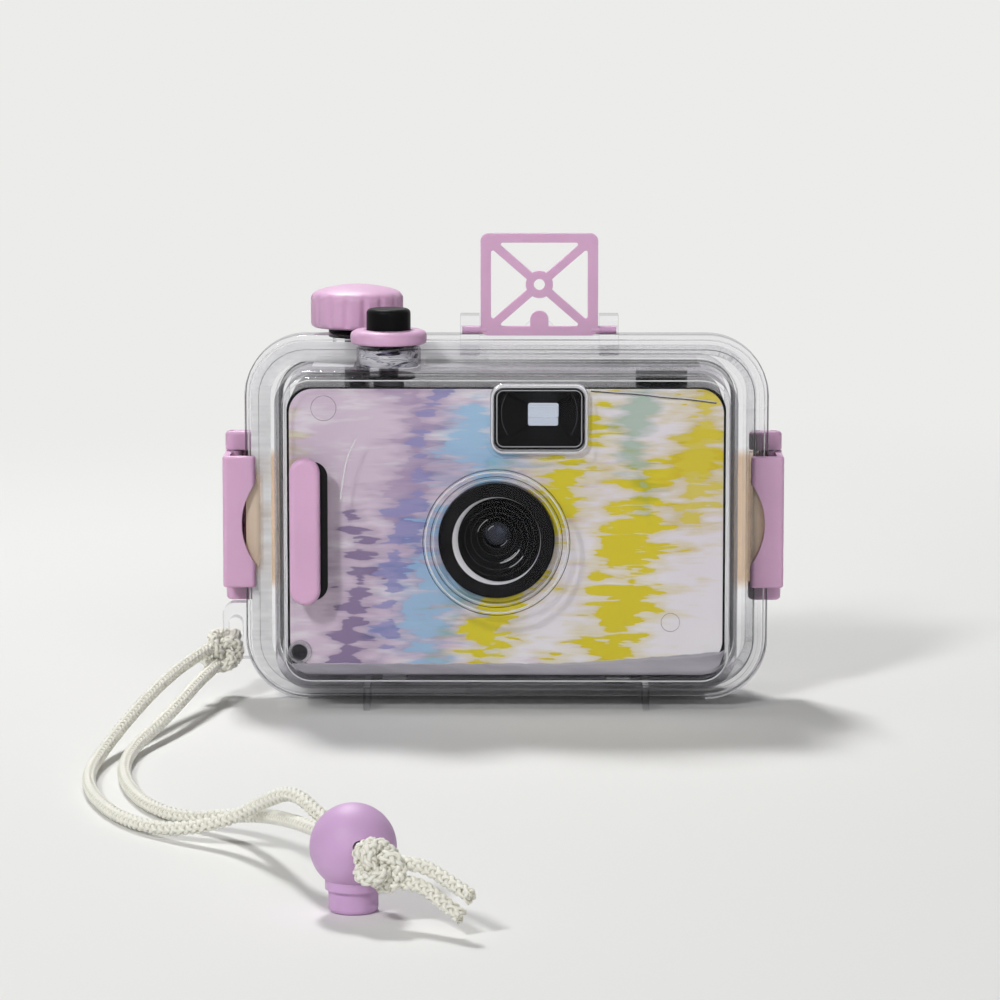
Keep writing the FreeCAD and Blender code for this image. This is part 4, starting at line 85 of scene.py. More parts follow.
class Nodes:
    """A node tree with short calls for adding and linking nodes."""

    def __init__(self, tree):
        self.tree = tree

    def add(self, kind, **settings):
        node = self.tree.nodes.new(kind)
        for key, value in settings.items():
            setattr(node, key, value)
        return node

    def link(self, source, target):
        self.tree.links.new(source, target)

    def feed(self, socket, value):
        """Give a socket a value, or link another node's output to it."""
        if isinstance(value, bpy.types.NodeSocket):
            self.link(value, socket)
        else:
            socket.default_value = value

    def split(self, vector):
        """The three values of a vector."""
        node = self.add("ShaderNodeSeparateXYZ")
        self.link(vector, node.inputs["Vector"])
        return node.outputs

    def math(self, operation, *values):
        node = self.add("ShaderNodeMath", operation=operation)
        for socket, value in zip(node.inputs, values):
            self.feed(socket, value)
        return node.outputs["Value"]

    def ramp(self, factor, stops):
        node = self.add("ShaderNodeValToRGB")
        elements = node.color_ramp.elements
        while len(elements) < len(stops):
            elements.new(0.5)
        for element, (position, colour) in zip(elements, stops):
            element.position = position
            element.color = colour
        self.link(factor, node.inputs["Fac"])
        return node.outputs["Color"]

    def mix(self, factor, a, b, blend="MIX"):
        """Mix of two colours. Inputs 0, 6 and 7 are the node's factor and its two colours."""
        node = self.add("ShaderNodeMix", data_type="RGBA", blend_type=blend)
        for index, value in ((0, factor), (6, a), (7, b)):
            self.feed(node.inputs[index], value)
        return node.outputs[2]

    def spread(self, factor, low, high, start=0.0, end=1.0, smooth=False):
        """A value from start to end spread from low to high."""
        node = self.add("ShaderNodeMapRange", interpolation_type="SMOOTHSTEP" if smooth else "LINEAR")
        limits = {"From Min": start, "From Max": end, "To Min": low, "To Max": high}
        for name, value in limits.items():
            node.inputs[name].default_value = value
        self.link(factor, node.inputs["Value"])
        return node.outputs["Result"]

    def between(self, value, first, last, fade, smooth=False):
        """1 between two limits and 0 outside them, with a fade of a given length inside each."""
        rise = self.spread(value, 0, 1, first, first + fade, smooth)
        fall = self.spread(value, 1, 0, last - fade, last, smooth)
        return self.math("MULTIPLY", rise, fall)

    def to_the_eye(self):
        """1 on rays from the camera and on those that gloss or refraction passes on, 0 on others."""
        rays = self.add("ShaderNodeLightPath").outputs
        seen = self.math("MAXIMUM", rays["Is Camera Ray"], rays["Is Transmission Ray"])
        return self.math("MAXIMUM", seen, rays["Is Glossy Ray"])


class Material(Nodes):
    """A material with a principled shader and short calls for what feeds it."""

    # Where the ramps of a clear body have their stops, from 0 for face on to 1 for edge on.
    TINT_STOPS = (0.45, 0.8)
    SHINE_STOPS = (0.1, 0.55, 0.9)

    def __init__(self, name):
        self.data = bpy.data.materials.new(name)
        self.data.use_nodes = True
        super().__init__(self.data.node_tree)
        self.shader = self.tree.nodes["Principled BSDF"]
        self.output = self.tree.nodes["Material Output"]
        self.coordinates = self.add("ShaderNodeTexCoord").outputs["Object"]

    def put(self, **values):
        """Values or outputs for the shader's inputs, whose names are written with _ for a space."""
        for key, value in values.items():
            self.feed(self.shader.inputs[key.replace("_", " ")], value)

    def mapped(self, scale, location=(0, 0, 0), source=None):
        """Coordinates scaled along each axis and moved; the object's own unless a source is given."""
        node = self.add("ShaderNodeMapping")
        node.inputs["Location"].default_value = location
        node.inputs["Scale"].default_value = scale
        self.link(self.coordinates if source is None else source, node.inputs["Vector"])
        return node.outputs["Vector"]

    def noise(self, scale, detail=2.0, roughness=0.5, vector=None, distortion=0.0):
        node = self.add("ShaderNodeTexNoise")
        settings = {"Scale": scale, "Detail": detail, "Roughness": roughness, "Distortion": distortion}
        for name, value in settings.items():
            node.inputs[name].default_value = value
        self.link(self.coordinates if vector is None else vector, node.inputs["Vector"])
        return node.outputs["Fac"]

    def bump(self, height, strength, distance):
        node = self.add("ShaderNodeBump")
        node.inputs["Strength"].default_value = strength
        node.inputs["Distance"].default_value = distance
        self.link(height, node.inputs["Height"])
        self.put(Normal=node.outputs["Normal"])

    def blend(self, share, under, over):
        """Surface that shows one shader, and another one by a share."""
        mixer = self.add("ShaderNodeMixShader")
        self.link(share, mixer.inputs["Fac"])
        self.link(under, mixer.inputs[1])
        self.link(over, mixer.inputs[2])
        self.link(mixer.outputs["Shader"], self.output.inputs["Surface"])

    def see_through(self, tint, edge_tint, shine, cast=None):
        """Clear body: passes light straight on, darker where it is seen edge on.

        The principled shader is the shine on its surface. Its share is given face on, half way and edge on,
        or as another node's output. A cast is a share and a colour that tints the body by it.
        """
        weight = self.add("ShaderNodeLayerWeight")
        weight.inputs["Blend"].default_value = 0.5
        facing = weight.outputs["Facing"]
        colour = self.ramp(facing, list(zip(self.TINT_STOPS, (tint, edge_tint))))
        if cast:
            colour = self.mix(cast[0], colour, cast[1], "MULTIPLY")
        clear = self.add("ShaderNodeBsdfTransparent")
        self.link(colour, clear.inputs["Color"])
        if isinstance(shine, tuple):
            greys = [(share, share, share, 1) for share in shine]
            shine = self.ramp(facing, list(zip(self.SHINE_STOPS, greys)))
        self.blend(shine, clear.outputs["BSDF"], self.shader.outputs["BSDF"])


# Materials

MOTTLING = 0.04


def moulded(name, colour, roughness, grain=0.03, subsurface=0.0, gloss=0.5):
    """Moulded plastic: fine spark-eroded grain, slight flow mottling and handling marks in its gloss."""
    m = Material(name)
    shades = [(*(min(1.0, c * shade) for c in colour[:3]), 1.0) for shade in (1 - MOTTLING, 1 + MOTTLING)]
    flow = m.ramp(m.noise(scale=45, detail=3.0), list(zip((0.3, 0.7), shades)))
    marks = m.noise(scale=220, detail=4.0, roughness=0.6, vector=m.mapped((1, 1, 0.35)))
    m.put(Base_Color=flow, Roughness=m.spread(marks, roughness - 0.07, roughness + 0.09))
    m.bump(m.noise(scale=4200), strength=grain, distance=0.00004)
    m.put(IOR=1.5, Specular_IOR_Level=gloss)
    if subsurface:
        m.put(Subsurface_Weight=subsurface, Subsurface_Scale=0.002, Subsurface_Radius=(1.0, 0.6, 0.8))
    return m.data


# Where the clear rim has painted warm light from the latches' colour, in metres: its limits across and up,
# and their fade.
LATCH_LIGHT_ACROSS = (0.0563, 0.0677)
LATCH_LIGHT_UP = (0.0278, 0.0637)
LATCH_LIGHT_FADE = 0.0024
PAINTED_LATCH_LIGHT_TINT = (0.90, 0.80, 0.69, 1)


def clear_plastic():
    """Clear polycarbonate: faint lilac cast, soft mould ripple, fine scuffs, and painted warm light in its
    edges beside the latches, which stands in for the latches' colour seen through the rim."""
    m = Material("clear_plastic")
    scuffs = m.noise(scale=160, detail=4.0, roughness=0.65, vector=m.mapped((1, 1, 0.3)))
    worn = m.spread(scuffs, low=0.03, high=0.16, start=0.35, end=0.8)
    m.put(Metallic=1.0, Base_Color=linear(250, 249, 252), Roughness=worn)
    m.bump(m.noise(scale=38, detail=1.0, roughness=0.4), strength=0.35, distance=0.0004)
    place = m.split(m.coordinates)
    beside = m.between(m.math("ABSOLUTE", place["X"]), *LATCH_LIGHT_ACROSS, LATCH_LIGHT_FADE)
    level = m.between(place["Z"], *LATCH_LIGHT_UP, LATCH_LIGHT_FADE)
    stripes = m.spread(m.noise(scale=900, vector=m.mapped((1, 1, 0.02))), low=0.45, high=1.0)
    # Painted light: a warm tint in streaks on the rim beside each latch.
    painted_latch_light_share = m.math("MULTIPLY", m.math("MULTIPLY", beside, level), stripes)
    m.see_through(tint=(0.978, 0.976, 0.984, 1), edge_tint=(0.60, 0.59, 0.62, 1), shine=(0.006, 0.08, 0.48),
                  cast=(painted_latch_light_share, PAINTED_LATCH_LIGHT_TINT))
    return m.data


def lens_glass():
    """Coated optical glass, dark inside the barrel, with a bluish bloom."""
    m = Material("lens_glass")
    smears = m.spread(m.noise(scale=300), low=0.0, high=0.03)
    m.put(Metallic=1.0, Base_Color=linear(205, 215, 245), Roughness=smears)
    m.see_through(tint=(0.90, 0.92, 0.95, 1), edge_tint=(0.30, 0.32, 0.38, 1), shine=(0.02, 0.07, 0.5))
    return m.data


def metal(name, colour, roughness, brushed=(1, 1, 1)):
    """Metal with fine brush lines, drawn out along the axis whose brushed value is small."""
    m = Material(name)
    lines = m.noise(scale=900, detail=3.0, roughness=0.6, vector=m.mapped(brushed))
    m.put(Metallic=1.0, Base_Color=colour, Roughness=m.spread(lines, roughness - 0.08, roughness + 0.1))
    m.bump(lines, strength=0.06, distance=0.00002)
    return m.data


def silicone():
    """Milky clear silicone."""
    m = Material("silicone")
    worn = m.spread(m.noise(scale=260, detail=3.0), low=0.32, high=0.5)
    m.put(Base_Color=linear(232, 230, 233), Roughness=worn, IOR=1.41)
    m.see_through(tint=(0.93, 0.93, 0.94, 1), edge_tint=(0.7, 0.7, 0.72, 1), shine=(0.27, 0.35, 0.7))
    return m.data


# The V coordinate along the outermost line of each strand of a braid.
STRAND_CREST = 0.25


def braid():
    """Thin filaments along each strand of the braid: off-white, faintly soiled, with painted shade that makes
    it darker at its sides.
    """
    m = Material("cord")
    uv = m.add("ShaderNodeTexCoord").outputs["UV"]
    filaments = m.noise(scale=3.2, detail=3.0, roughness=0.6, vector=m.mapped((1.0, 34.0, 1.0), source=uv))
    soiling = m.spread(m.noise(scale=130, detail=3.0, roughness=0.6), low=0.0, high=0.14)
    pale = m.ramp(filaments, [(0.25, linear(238, 236, 222)), (0.7, linear(253, 252, 244))])
    pale = m.mix(soiling, pale, linear(218, 210, 186))
    # Painted shade where the strands meet, away from each strand's crest.
    off_crest = m.math("ABSOLUTE", m.math("SUBTRACT", m.split(uv)["Y"], STRAND_CREST))
    painted_crevice_shade = m.spread(off_crest, low=0, high=1, start=0.13, end=0.25)
    m.put(Base_Color=m.mix(painted_crevice_shade, pale, linear(222, 218, 201)))
    m.put(Roughness=0.62, Sheen_Weight=0.25, Sheen_Roughness=0.5)
    m.put(Subsurface_Weight=0.1, Subsurface_Scale=0.001, Subsurface_Radius=(1.0, 0.95, 0.85))
    m.bump(filaments, strength=0.5, distance=0.00012)
    return m.data


# Bands of dye on the print. Shares of its width and height: middle, lean over its height, half width, the
# height it is strongest at and how far it runs from there. Then colour, strength of its wash and of its core.
DYES = [
    (0.13, 0.06, 0.230, 0.55, 1.00, (226, 202, 222), 0.70, 0.00),
    (0.27, 0.10, 0.052, 0.80, 0.36, (182, 160, 192), 0.40, 0.62),
    (0.15, 0.03, 0.040, 0.22, 0.44, (128, 108, 150), 0.35, 0.85),
    (0.30, 0.15, 0.038, 0.50, 0.62, (150, 148, 198), 0.28, 0.85),
    (0.385, 0.12, 0.062, 0.45, 0.80, (158, 202, 232), 0.65, 0.75),
    (0.45, 0.16, 0.026, 0.60, 0.50, (150, 208, 226), 0.35, 0.45),
    (0.57, 0.26, 0.058, 0.35, 0.85, (226, 210, 4), 0.45, 1.00),
    (0.83, 0.18, 0.078, 0.40, 0.66, (226, 208, 6), 0.45, 1.00),
    (0.93, 0.05, 0.044, 0.78, 0.45, (224, 206, 40), 0.50, 0.80),
    (0.81, -0.04, 0.022, 0.85, 0.30, (166, 198, 176), 0.60, 0.45),
    (0.02, 0.00, 0.025, 0.75, 0.30, (228, 230, 160), 0.60, 0.00),
]

# The print's size and the height of its lower edge, in metres.
PRINT_WIDTH = 0.1094
PRINT_HEIGHT = 0.0695
PRINT_BOTTOM = 0.0118


def dyed(m, colour, index, across, height):
    """One band of dye over a colour: a soft wash, and a core that runs out sideways in pointed streaks."""
    middle, lean, half, strongest, reach, dye, wash, core = DYES[index]
    dye = linear(*dye)

    def blotches(scale, squash, detail, bend=0.0):
        """Noise about 0, drawn out sideways by squash and different in each band."""
        place = m.mapped((1 / squash, 1, squash), (0.31 * index, 0.17 * index, 0.23 * index))
        return m.math("SUBTRACT", m.noise(scale, detail, vector=place, distortion=bend), 0.5)

    wander, clouds, fingers, threads = 0.16, 3.4, 4.6, 0.9
    line = m.math("MULTIPLY_ADD", height, lean, middle - lean / 2)
    line = m.math("MULTIPLY_ADD", blotches(28, 1.4, 0.0), wander, line)
    away = m.math("ABSOLUTE", m.math("SUBTRACT", across, line))
    level = m.math("MULTIPLY_ADD", away, -1 / half, 1.0)
    above = m.math("ABSOLUTE", m.math("SUBTRACT", height, strongest))
    beyond = m.math("MAXIMUM", m.math("SUBTRACT", above, reach * 0.5), 0.0)
    level = m.math("MULTIPLY_ADD", beyond, -3.0 / reach, level)
    level = m.math("MULTIPLY_ADD", blotches(95, 1.5, 1.0, 0.6), clouds, level)
    streaks = m.math("MULTIPLY_ADD", blotches(215, 2.4, 2.0, 0.3), fingers, level)
    streaks = m.math("MULTIPLY_ADD", blotches(620, 2.2, 1.0), threads, streaks)
    washed = m.spread(streaks, low=0.0, high=wash, start=-1.2, end=0.8, smooth=True)
    colour = m.mix(washed, colour, dye, "MULTIPLY")
    if core:
        full = m.spread(streaks, low=0.0, high=core, start=0.30, end=0.62, smooth=True)
        colour = m.mix(full, colour, dye)
    return colour


def tie_dye():
    """Generic tie-dye in upright, leaning bands that bleed sideways."""
    m = Material("print")
    place = m.split(m.coordinates)
    across = m.math("MULTIPLY_ADD", place["X"], 1 / PRINT_WIDTH, 0.5)
    height = m.math("MULTIPLY_ADD", place["Z"], 1 / PRINT_HEIGHT, -PRINT_BOTTOM / PRINT_HEIGHT)
    colour = m.ramp(m.noise(scale=26), [(0.35, linear(237, 230, 236)), (0.65, linear(246, 243, 245))])
    for index in range(len(DYES)):
        colour = dyed(m, colour, index, across, height)
    m.put(Base_Color=colour, Roughness=0.42, Coat_Weight=0.15, Coat_Roughness=0.3)
    m.bump(m.noise(scale=16, detail=1.0), strength=0.25, distance=0.0012)
    return m.data


PINK = linear(220, 176, 210)
SLOTS = {
    "clear_plastic": clear_plastic(),
    "pink_plastic": moulded("pink_plastic", PINK, roughness=0.42, subsurface=0.25),
    "black_plastic": moulded("black_plastic", linear(11, 11, 13), roughness=0.42, gloss=0.07),
    "dark_gloss_plastic": moulded("dark_gloss_plastic", linear(8, 8, 10), roughness=0.2, gloss=0.15),
    "black_rubber": moulded("black_rubber", linear(22, 21, 23), roughness=0.6, grain=0.15, gloss=0.1),
    "silicone": silicone(),
    "steel": metal("steel", linear(198, 198, 200), roughness=0.28, brushed=(1, 1, 0.1)),
    "silver": metal("silver", linear(214, 214, 216), roughness=0.2),
    "cord": braid(),
    "print": tie_dye(),
    "lens_glass": lens_glass(),
    "grey_plastic": moulded("grey_plastic", linear(120, 120, 124), roughness=0.45),
}
SMALL_KNOB = moulded("ball_plastic", linear(203, 164, 207), roughness=0.5, subsurface=0.1)
BLACKENED = metal("blackened_steel", linear(52, 52, 56), roughness=0.45)
MATT_BLACK = moulded("matt_black", linear(7, 7, 8), roughness=0.75, gloss=0.04)
PALE = moulded("pale_plastic", linear(196, 195, 198), roughness=0.4)
TINTED = {
    "wind_shaft": PALE,
    "lock_ball": SMALL_KNOB,
    "lock_button": SMALL_KNOB,
    "shutter_blade": BLACKENED,
    "camera_screw": BLACKENED,
    "lens_cone": MATT_BLACK,
    "lens_holder": MATT_BLACK,
}

# Each node takes the material of its slot, or its own.
for part in frame["record"]["subparts"]:
    node = nodes.get(part["node"])
    if node is None:
        continue
    material = TINTED.get(part["node"], SLOTS[part["material_slot"]])
    for slot in node.material_slots:
        slot.material = material


# Lanyard: braided cords on the CAD routes

# The cord lock: the way its cord hole points, and the ball's middle. The places below are in millimetres.
LOCK_AIM = math.radians(-65.2)
BALL = (-29.6, -234.6)


def on_lock(along, across, z):
    """Point near the ball in millimetres, along its cord hole and across it."""
    c, s = math.cos(LOCK_AIM), math.sin(LOCK_AIM)
    return (BALL[0] + along * c - across * s, BALL[1] + along * s + across * c, z)


# Points listed along each cord, the same as in the CAD.
STRAND_A = [
    (-75.0, -8.2, 14.0),
    (-80.0, -22.0, 12.6),
    (-85.0, -42.0, 10.6),
    (-90.0, -64.0, 7.2),
    (-95.0, -86.0, 2.6),
    (-96.0, -111.0, 1.7),
    (-91.0, -137.0, 1.7),
    (-81.5, -159.5, 1.7),
    (-69.5, -171.5, 2.6),
    (-57.5, -178.5, 6.8),
    (-49.5, -190.5, 13.6),
    (-43.0, -203.0, 18.0),
    on_lock(-20.0, 1.6, 14.9),
    on_lock(-0.5, 1.6, 14.1),
    on_lock(12.4, 1.6, 13.3),
]
STRAND_B = [
    (-73.0, -8.2, 9.8),
    (-76.0, -22.0, 8.8),
    (-79.0, -40.0, 7.0),
    (-83.0, -58.0, 4.6),
    (-88.0, -76.0, 2.2),
    (-88.8, -98.0, 1.7),
    (-85.5, -121.0, 1.7),
    (-79.0, -142.0, 1.7),
    (-69.5, -157.0, 2.2),
    (-59.0, -165.0, 4.6),
    (-51.5, -178.5, 7.6),
    (-45.8, -196.0, 10.6),
    on_lock(-20.0, -1.6, 13.6),
    on_lock(-0.5, -1.6, 14.1),
    on_lock(12.4, -1.6, 13.3),
]
END_KNOT = on_lock(13.8, 0.4, 11.1)
TAIL_A = [
    (END_KNOT[0] + 2.4, END_KNOT[1] + 1.4, 12.4),
    (-15.8, -247.0, 12.6),
    (-10.4, -252.8, 10.6),
    (-5.6, -258.4, 8.4),
]
TAIL_B = [
    (END_KNOT[0] + 2.4, END_KNOT[1] + 0.6, 8.6),
    (-16.6, -248.0, 9.0),
    (-11.8, -253.0, 6.8),
    (-7.8, -257.6, 4.2),
]


def smooth_line(points):
    """Points along the NURBS spline whose control points are given in millimetres."""
    curve = bpy.data.curves.new("route", "CURVE")
    curve.dimensions = "3D"
    spline = curve.splines.new("NURBS")
    spline.points.add(len(points) - 1)
    for point, place in zip(spline.points, points):
        point.co = (*(c * MM for c in place), 1)
    spline.order_u = 3
    spline.use_endpoint_u = True
    spline.resolution_u = 16
    holder = bpy.data.objects.new("route", curve)
    line = bpy.data.meshes.new_from_object(holder)
    places = [v.co.copy() for v in line.vertices]
    bpy.data.objects.remove(holder)
    bpy.data.curves.remove(curve)
    bpy.data.meshes.remove(line)
    return places


def resampled(places, step):
    """The same line with its points an even step apart, and its length."""
    lengths = [0.0]
    for a, b in zip(places, places[1:]):
        lengths.append(lengths[-1] + (b - a).length)
    total = lengths[-1]
    count = max(2, round(total / step))
    result = []
    at = 0
    for i in range(count + 1):
        wanted = total * i / count
        while at < len(places) - 2 and lengths[at + 1] < wanted:
            at += 1
        part = (wanted - lengths[at]) / max(lengths[at + 1] - lengths[at], 1e-9)
        result.append(places[at].lerp(places[at + 1], min(1.0, part)))
    return result, total


def frames_along(places):
    """Tangent, side and up at each point, turned as little as possible from one to the next."""
    result = []
    side = None
    for i, place in enumerate(places):
        ahead = places[min(i + 1, len(places) - 1)] - places[max(i - 1, 0)]
        tangent = ahead.normalized()
        if side is None:
            side = tangent.cross(Vector((0, 0, 1)))
            if side.length < 1e-3:
                side = Vector((1, 0, 0))
        side = (side - tangent * side.dot(tangent)).normalized()
        result.append((tangent, side, tangent.cross(side)))
    return result


def skin(rings, ring, closed=True, start=0):
    """Faces over rings of points that follow each other, from point number start.

    Closed joins the last ring to the first; otherwise both ends get a cap.
    """
    faces = []
    for i in range(rings if closed else rings - 1):
        here, there = start + i * ring, start + (i + 1) % rings * ring
        for k in range(ring):
            n = (k + 1) % ring
            faces.append((here + k, here + n, there + n, there + k))
    if not closed:
        faces += [tuple(range(end, end + ring)) for end in (start, start + (rings - 1) * ring)]
    return faces


BRAID_PITCH = 8.4 * MM
BRAID_STRANDS = 4
BRAID_RADIUS = 0.98 * MM
BRAID_WAVE = 0.29 * MM
BRAID_STEP = 0.42 * MM
CORE_RADIUS = 0.74 * MM
STRAND_WIDE = 0.55 * MM
STRAND_THIN = 0.40 * MM
FRAY_LENGTH = 4 * MM
FRAY_REACH = 1.2 * MM


def braided(name, line, ragged=0.0, seed=1):
    """Cord of eight flat strands, four each way round, that pass over and under each other.

    A ragged cord has strands that spread by unlike amounts at its far end.
    """
    rng = random.Random(seed)
    places, total = resampled(line, BRAID_STEP)
    axes = frames_along(places)
    count = len(places)
    ring = 6
    ring_turns = [2 * math.pi * k / ring for k in range(ring)]
    verts, faces, uvs = [], [], []
    for hand in (1, -1):
        for strand in range(BRAID_STRANDS):
            spread = rng.uniform(-ragged, ragged)
            faces += skin(count, ring, closed=False, start=len(verts))
            for i, (place, (tangent, side, up)) in enumerate(zip(places, axes)):
                along = total * i / (count - 1)
                turn = 2 * math.pi * along / BRAID_PITCH
                angle = hand * turn + strand * math.pi / 2
                end = max(0.0, 1 - (total - along) / FRAY_LENGTH) if ragged else 0.0
                radius = BRAID_RADIUS + hand * BRAID_WAVE * math.cos(4 * turn) + end * spread * FRAY_REACH
                out = side * math.cos(angle) + up * math.sin(angle)
                round_way = up * math.cos(angle) - side * math.sin(angle)
                lean = 2 * math.pi * BRAID_RADIUS / BRAID_PITCH
                across = (round_way - tangent * hand * lean).normalized()
                for a in ring_turns:
                    verts.append(place + out * (radius + math.sin(a) * STRAND_THIN)
                                 + across * math.cos(a) * STRAND_WIDE)
            for i in range(count - 1):
                u0, u1 = i * BRAID_STEP / MM, (i + 1) * BRAID_STEP / MM
                for k in range(ring):
                    v0, v1 = k / ring, (k + 1) / ring
                    uvs += [(u0, v0), (u0, v1), (u1, v1), (u1, v0)]
            uvs += [(0, k / ring) for k in range(ring)] * 2
    faces += skin(count, ring, closed=False, start=len(verts))
    for place, (_, side, up) in zip(places, axes):
        verts += [place + (side * math.cos(a) + up * math.sin(a)) * CORE_RADIUS for a in ring_turns]
    for i in range(count - 1):
        uvs += [(i, STRAND_CREST)] * 4 * ring
    uvs += [(0, STRAND_CREST)] * 2 * ring
    return solid_piece(name, verts, faces, SLOTS["cord"], uvs), places, total


def solid_piece(name, verts, faces, material, uvs=None, crease=None):
    """Mesh object from points and faces, smooth but for edges sharper than crease in degrees."""
    mesh = bpy.data.meshes.new(name)
    mesh.from_pydata([tuple(v) for v in verts], [], faces)
    if uvs:
        layer = mesh.uv_layers.new(name="cord")
        for loop, uv in zip(layer.data, uvs):
            loop.uv = uv
    mesh.materials.append(material)
    shape = bmesh.new()
    shape.from_mesh(mesh)
    bmesh.ops.recalc_face_normals(shape, faces=shape.faces)
    shape.to_mesh(mesh)
    shape.free()
    mesh.shade_smooth()
    if crease:
        mesh.set_sharp_from_angle(angle=math.radians(crease))
    piece = bpy.data.objects.new(name, mesh)
    scene.collection.objects.link(piece)
    return piece


def knot_line(centre, size, tilts, steps=180):
    """Line of a trefoil knot in metres, tilted about X, Y and Z. Its centre is in millimetres."""
    round_turns, lobes = 2, 3
    waist, rise = 0.5, 0.75
    places = []
    for i in range(steps):
        t = 2 * math.pi * i / steps
        radius = size * (1 + waist * math.cos(lobes * t))
        x, y = radius * math.cos(round_turns * t), radius * math.sin(round_turns * t)
        places.append(Vector((x, y, size * rise * math.sin(lobes * t))))
    tilted = Matrix.Identity(3)
    for axis, tilt in zip("XYZ", tilts):
        tilted = Matrix.Rotation(tilt, 3, axis) @ tilted
    return [tilted @ place + Vector(centre) * MM for place in places]


ends = {}
for name, route, ragged, seed in (
    ("lanyard_strand_a", STRAND_A, 0.0, 1),
    ("lanyard_strand_b", STRAND_B, 0.0, 2),
    ("lanyard_tail_a", TAIL_A, 0.5, 3),
    ("lanyard_tail_b", TAIL_B, 0.5, 4),
):
    piece, places, total = braided(name, smooth_line(route), ragged, seed)
    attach(piece, "housing")
    ends[name] = (piece, places, total)

LUG_KNOT = (-72.2, -4.5, 12.4)
LUG_LOOP = [
    (-73.8, -3.0, 15.0),
    (-73.8, 4.2, 15.0),
    (-73.6, 7.6, 15.0),
    (-71.5, 8.2, 15.0),
    (-69.4, 7.6, 15.0),
    (-69.2, 4.2, 15.0),
    (-69.2, -3.0, 15.0),
]
STOPPER = on_lock(13.4, 0.3, 11.7)
STOPPER_TURN = {"along": 10.2, "z": 13.8, "half_width": 2.9, "half_height": 1.9}


def stopper_line(along, z, half_width, half_height, steps=40):
    """One turn of the cord round the tails, behind the stopper knot, in metres."""
    places = []
    for i in range(steps + 1):
        a = 2 * math.pi * i / steps
        places.append(Vector(on_lock(along, half_width * math.cos(a), z + half_height * math.sin(a))) * MM)
    return places


knot_at_lug = braided("lug_hitch", knot_line(LUG_KNOT, size=3.1 * MM, tilts=(1.2, 0.3, 0.5)), seed=5)[0]
knot_at_end = braided("stopper_hitch", knot_line(STOPPER, size=2.8 * MM, tilts=(0.9, 0.5, -0.4)), seed=6)[0]
lug_loop = braided("lug_loop", smooth_line(LUG_LOOP), seed=7)[0]
whipping = braided("stopper_turn", stopper_line(**STOPPER_TURN), seed=8)[0]
for piece in (knot_at_lug, knot_at_end, lug_loop, whipping):
    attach(piece, "housing")
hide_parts("strand_a")
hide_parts("strand_b")
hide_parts("tail_a")
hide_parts("tail_b")
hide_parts("lug_knot")
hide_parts("end_knot")

on_cord = [knot_at_end, whipping, ends["lanyard_tail_a"][0], ends["lanyard_tail_b"][0]]
on_cord += [nodes["lock_ball"], nodes["lock_button"], nodes["lock_spring"]]
for name, others in (("lanyard_strand_a", on_cord), ("lanyard_strand_b", [])):
    piece, places, total = ends[name]


# Thin trim, painted highlight and shade lines, and turned pieces

def arc(x, z, radius, y, start, end, steps=24):
    """Points in metres of part of an upright circle that faces the front, from start to end in degrees."""
    turns = [math.radians(start + (end - start) * i / steps) for i in range(steps + 1)]
    return [Vector((x + radius * math.cos(a), y, z + radius * math.sin(a))) * MM for a in turns]


def outline_circle(x, z, radius, y, steps=72):
    """Points in metres of a whole such circle."""
    return arc(x, z, radius, y, 0, 360, steps)[:-1]


def outline_window(x, z, half_width, half_height, corner, y, steps=8):
    """Points in metres of an upright rectangle with round corners that faces the front."""
    places = []
    for quarter, (sx, sz) in enumerate(((1, 1), (-1, 1), (-1, -1), (1, -1))):
        for i in range(steps + 1):
            a = math.pi / 2 * (quarter + i / steps)
            px = x + sx * (half_width - corner) + corner * math.cos(a)
            pz = z + sz * (half_height - corner) + corner * math.sin(a)
            places.append(Vector((px, y, pz)) * MM)
    return places


def bead(places, wide, thin, closed=True):
    """Points and faces of a bead along a line of points in metres.

    It is wide in the plane of the front and thin across it, both in millimetres.
    """
    ring = 8
    ring_turns = [2 * math.pi * k / ring for k in range(ring)]
    count = len(places)
    back = Vector((0, 1, 0))
    verts = []
    for i, place in enumerate(places):
        before = places[(i - 1) % count] if closed or i else place
        after = places[(i + 1) % count] if closed or i < count - 1 else place
        side = (after - before).normalized().cross(back).normalized()
        verts += [place + (side * math.cos(a) * wide + back * math.sin(a) * thin) * MM for a in ring_turns]
    return verts, skin(count, ring, closed)


def slab(outline, near, far):
    """Closed thin plate from a front outline of (x, z) between two depths, in millimetres."""
    verts = [Vector((x, y, z)) * MM for y in (near, far) for x, z in outline]
    return verts, skin(2, len(outline), closed=False)


def housed(name, parts, material, crease=None):
    """One piece on the housing, made of several meshes."""
    verts, faces = [], []
    for some_verts, some_faces in parts:
        start = len(verts)
        verts += some_verts
        faces += [tuple(start + i for i in face) for face in some_faces]
    piece = solid_piece(name, verts, faces, material, crease=crease)
    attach(piece, "housing")
    return piece


def veil(name, colour, share, roughness=0.3):
    """Thin film of a colour that lets part of what is behind it show."""
    m = Material(name)
    m.put(Base_Color=colour, Roughness=roughness)
    m.see_through(WHITE, WHITE, (share, share, min(1.0, share * 1.3)))
    return m.data


# White film for painted highlights along edges, creases and glints.
PAINTED_HIGHLIGHT = veil("painted_edge_highlight", linear(248, 248, 250), share=0.62, roughness=0.2)
# Dark film for painted shade along edges and folds.
PAINTED_SHADE = veil("painted_edge_shade", linear(70, 70, 76), share=0.66)
# Faint grey film for the window's moulding marks and for painted glints in the finder.
FAINT_MARKS_AND_PAINTED_GLINTS = veil("faint_mark_and_painted_glint", linear(120, 116, 124), share=0.45)
# White film for the silvered lens bevel's painted highlight.
PAINTED_SILVER_HIGHLIGHT = veil("painted_silver_highlight", linear(244, 244, 246), share=0.9, roughness=0.25)
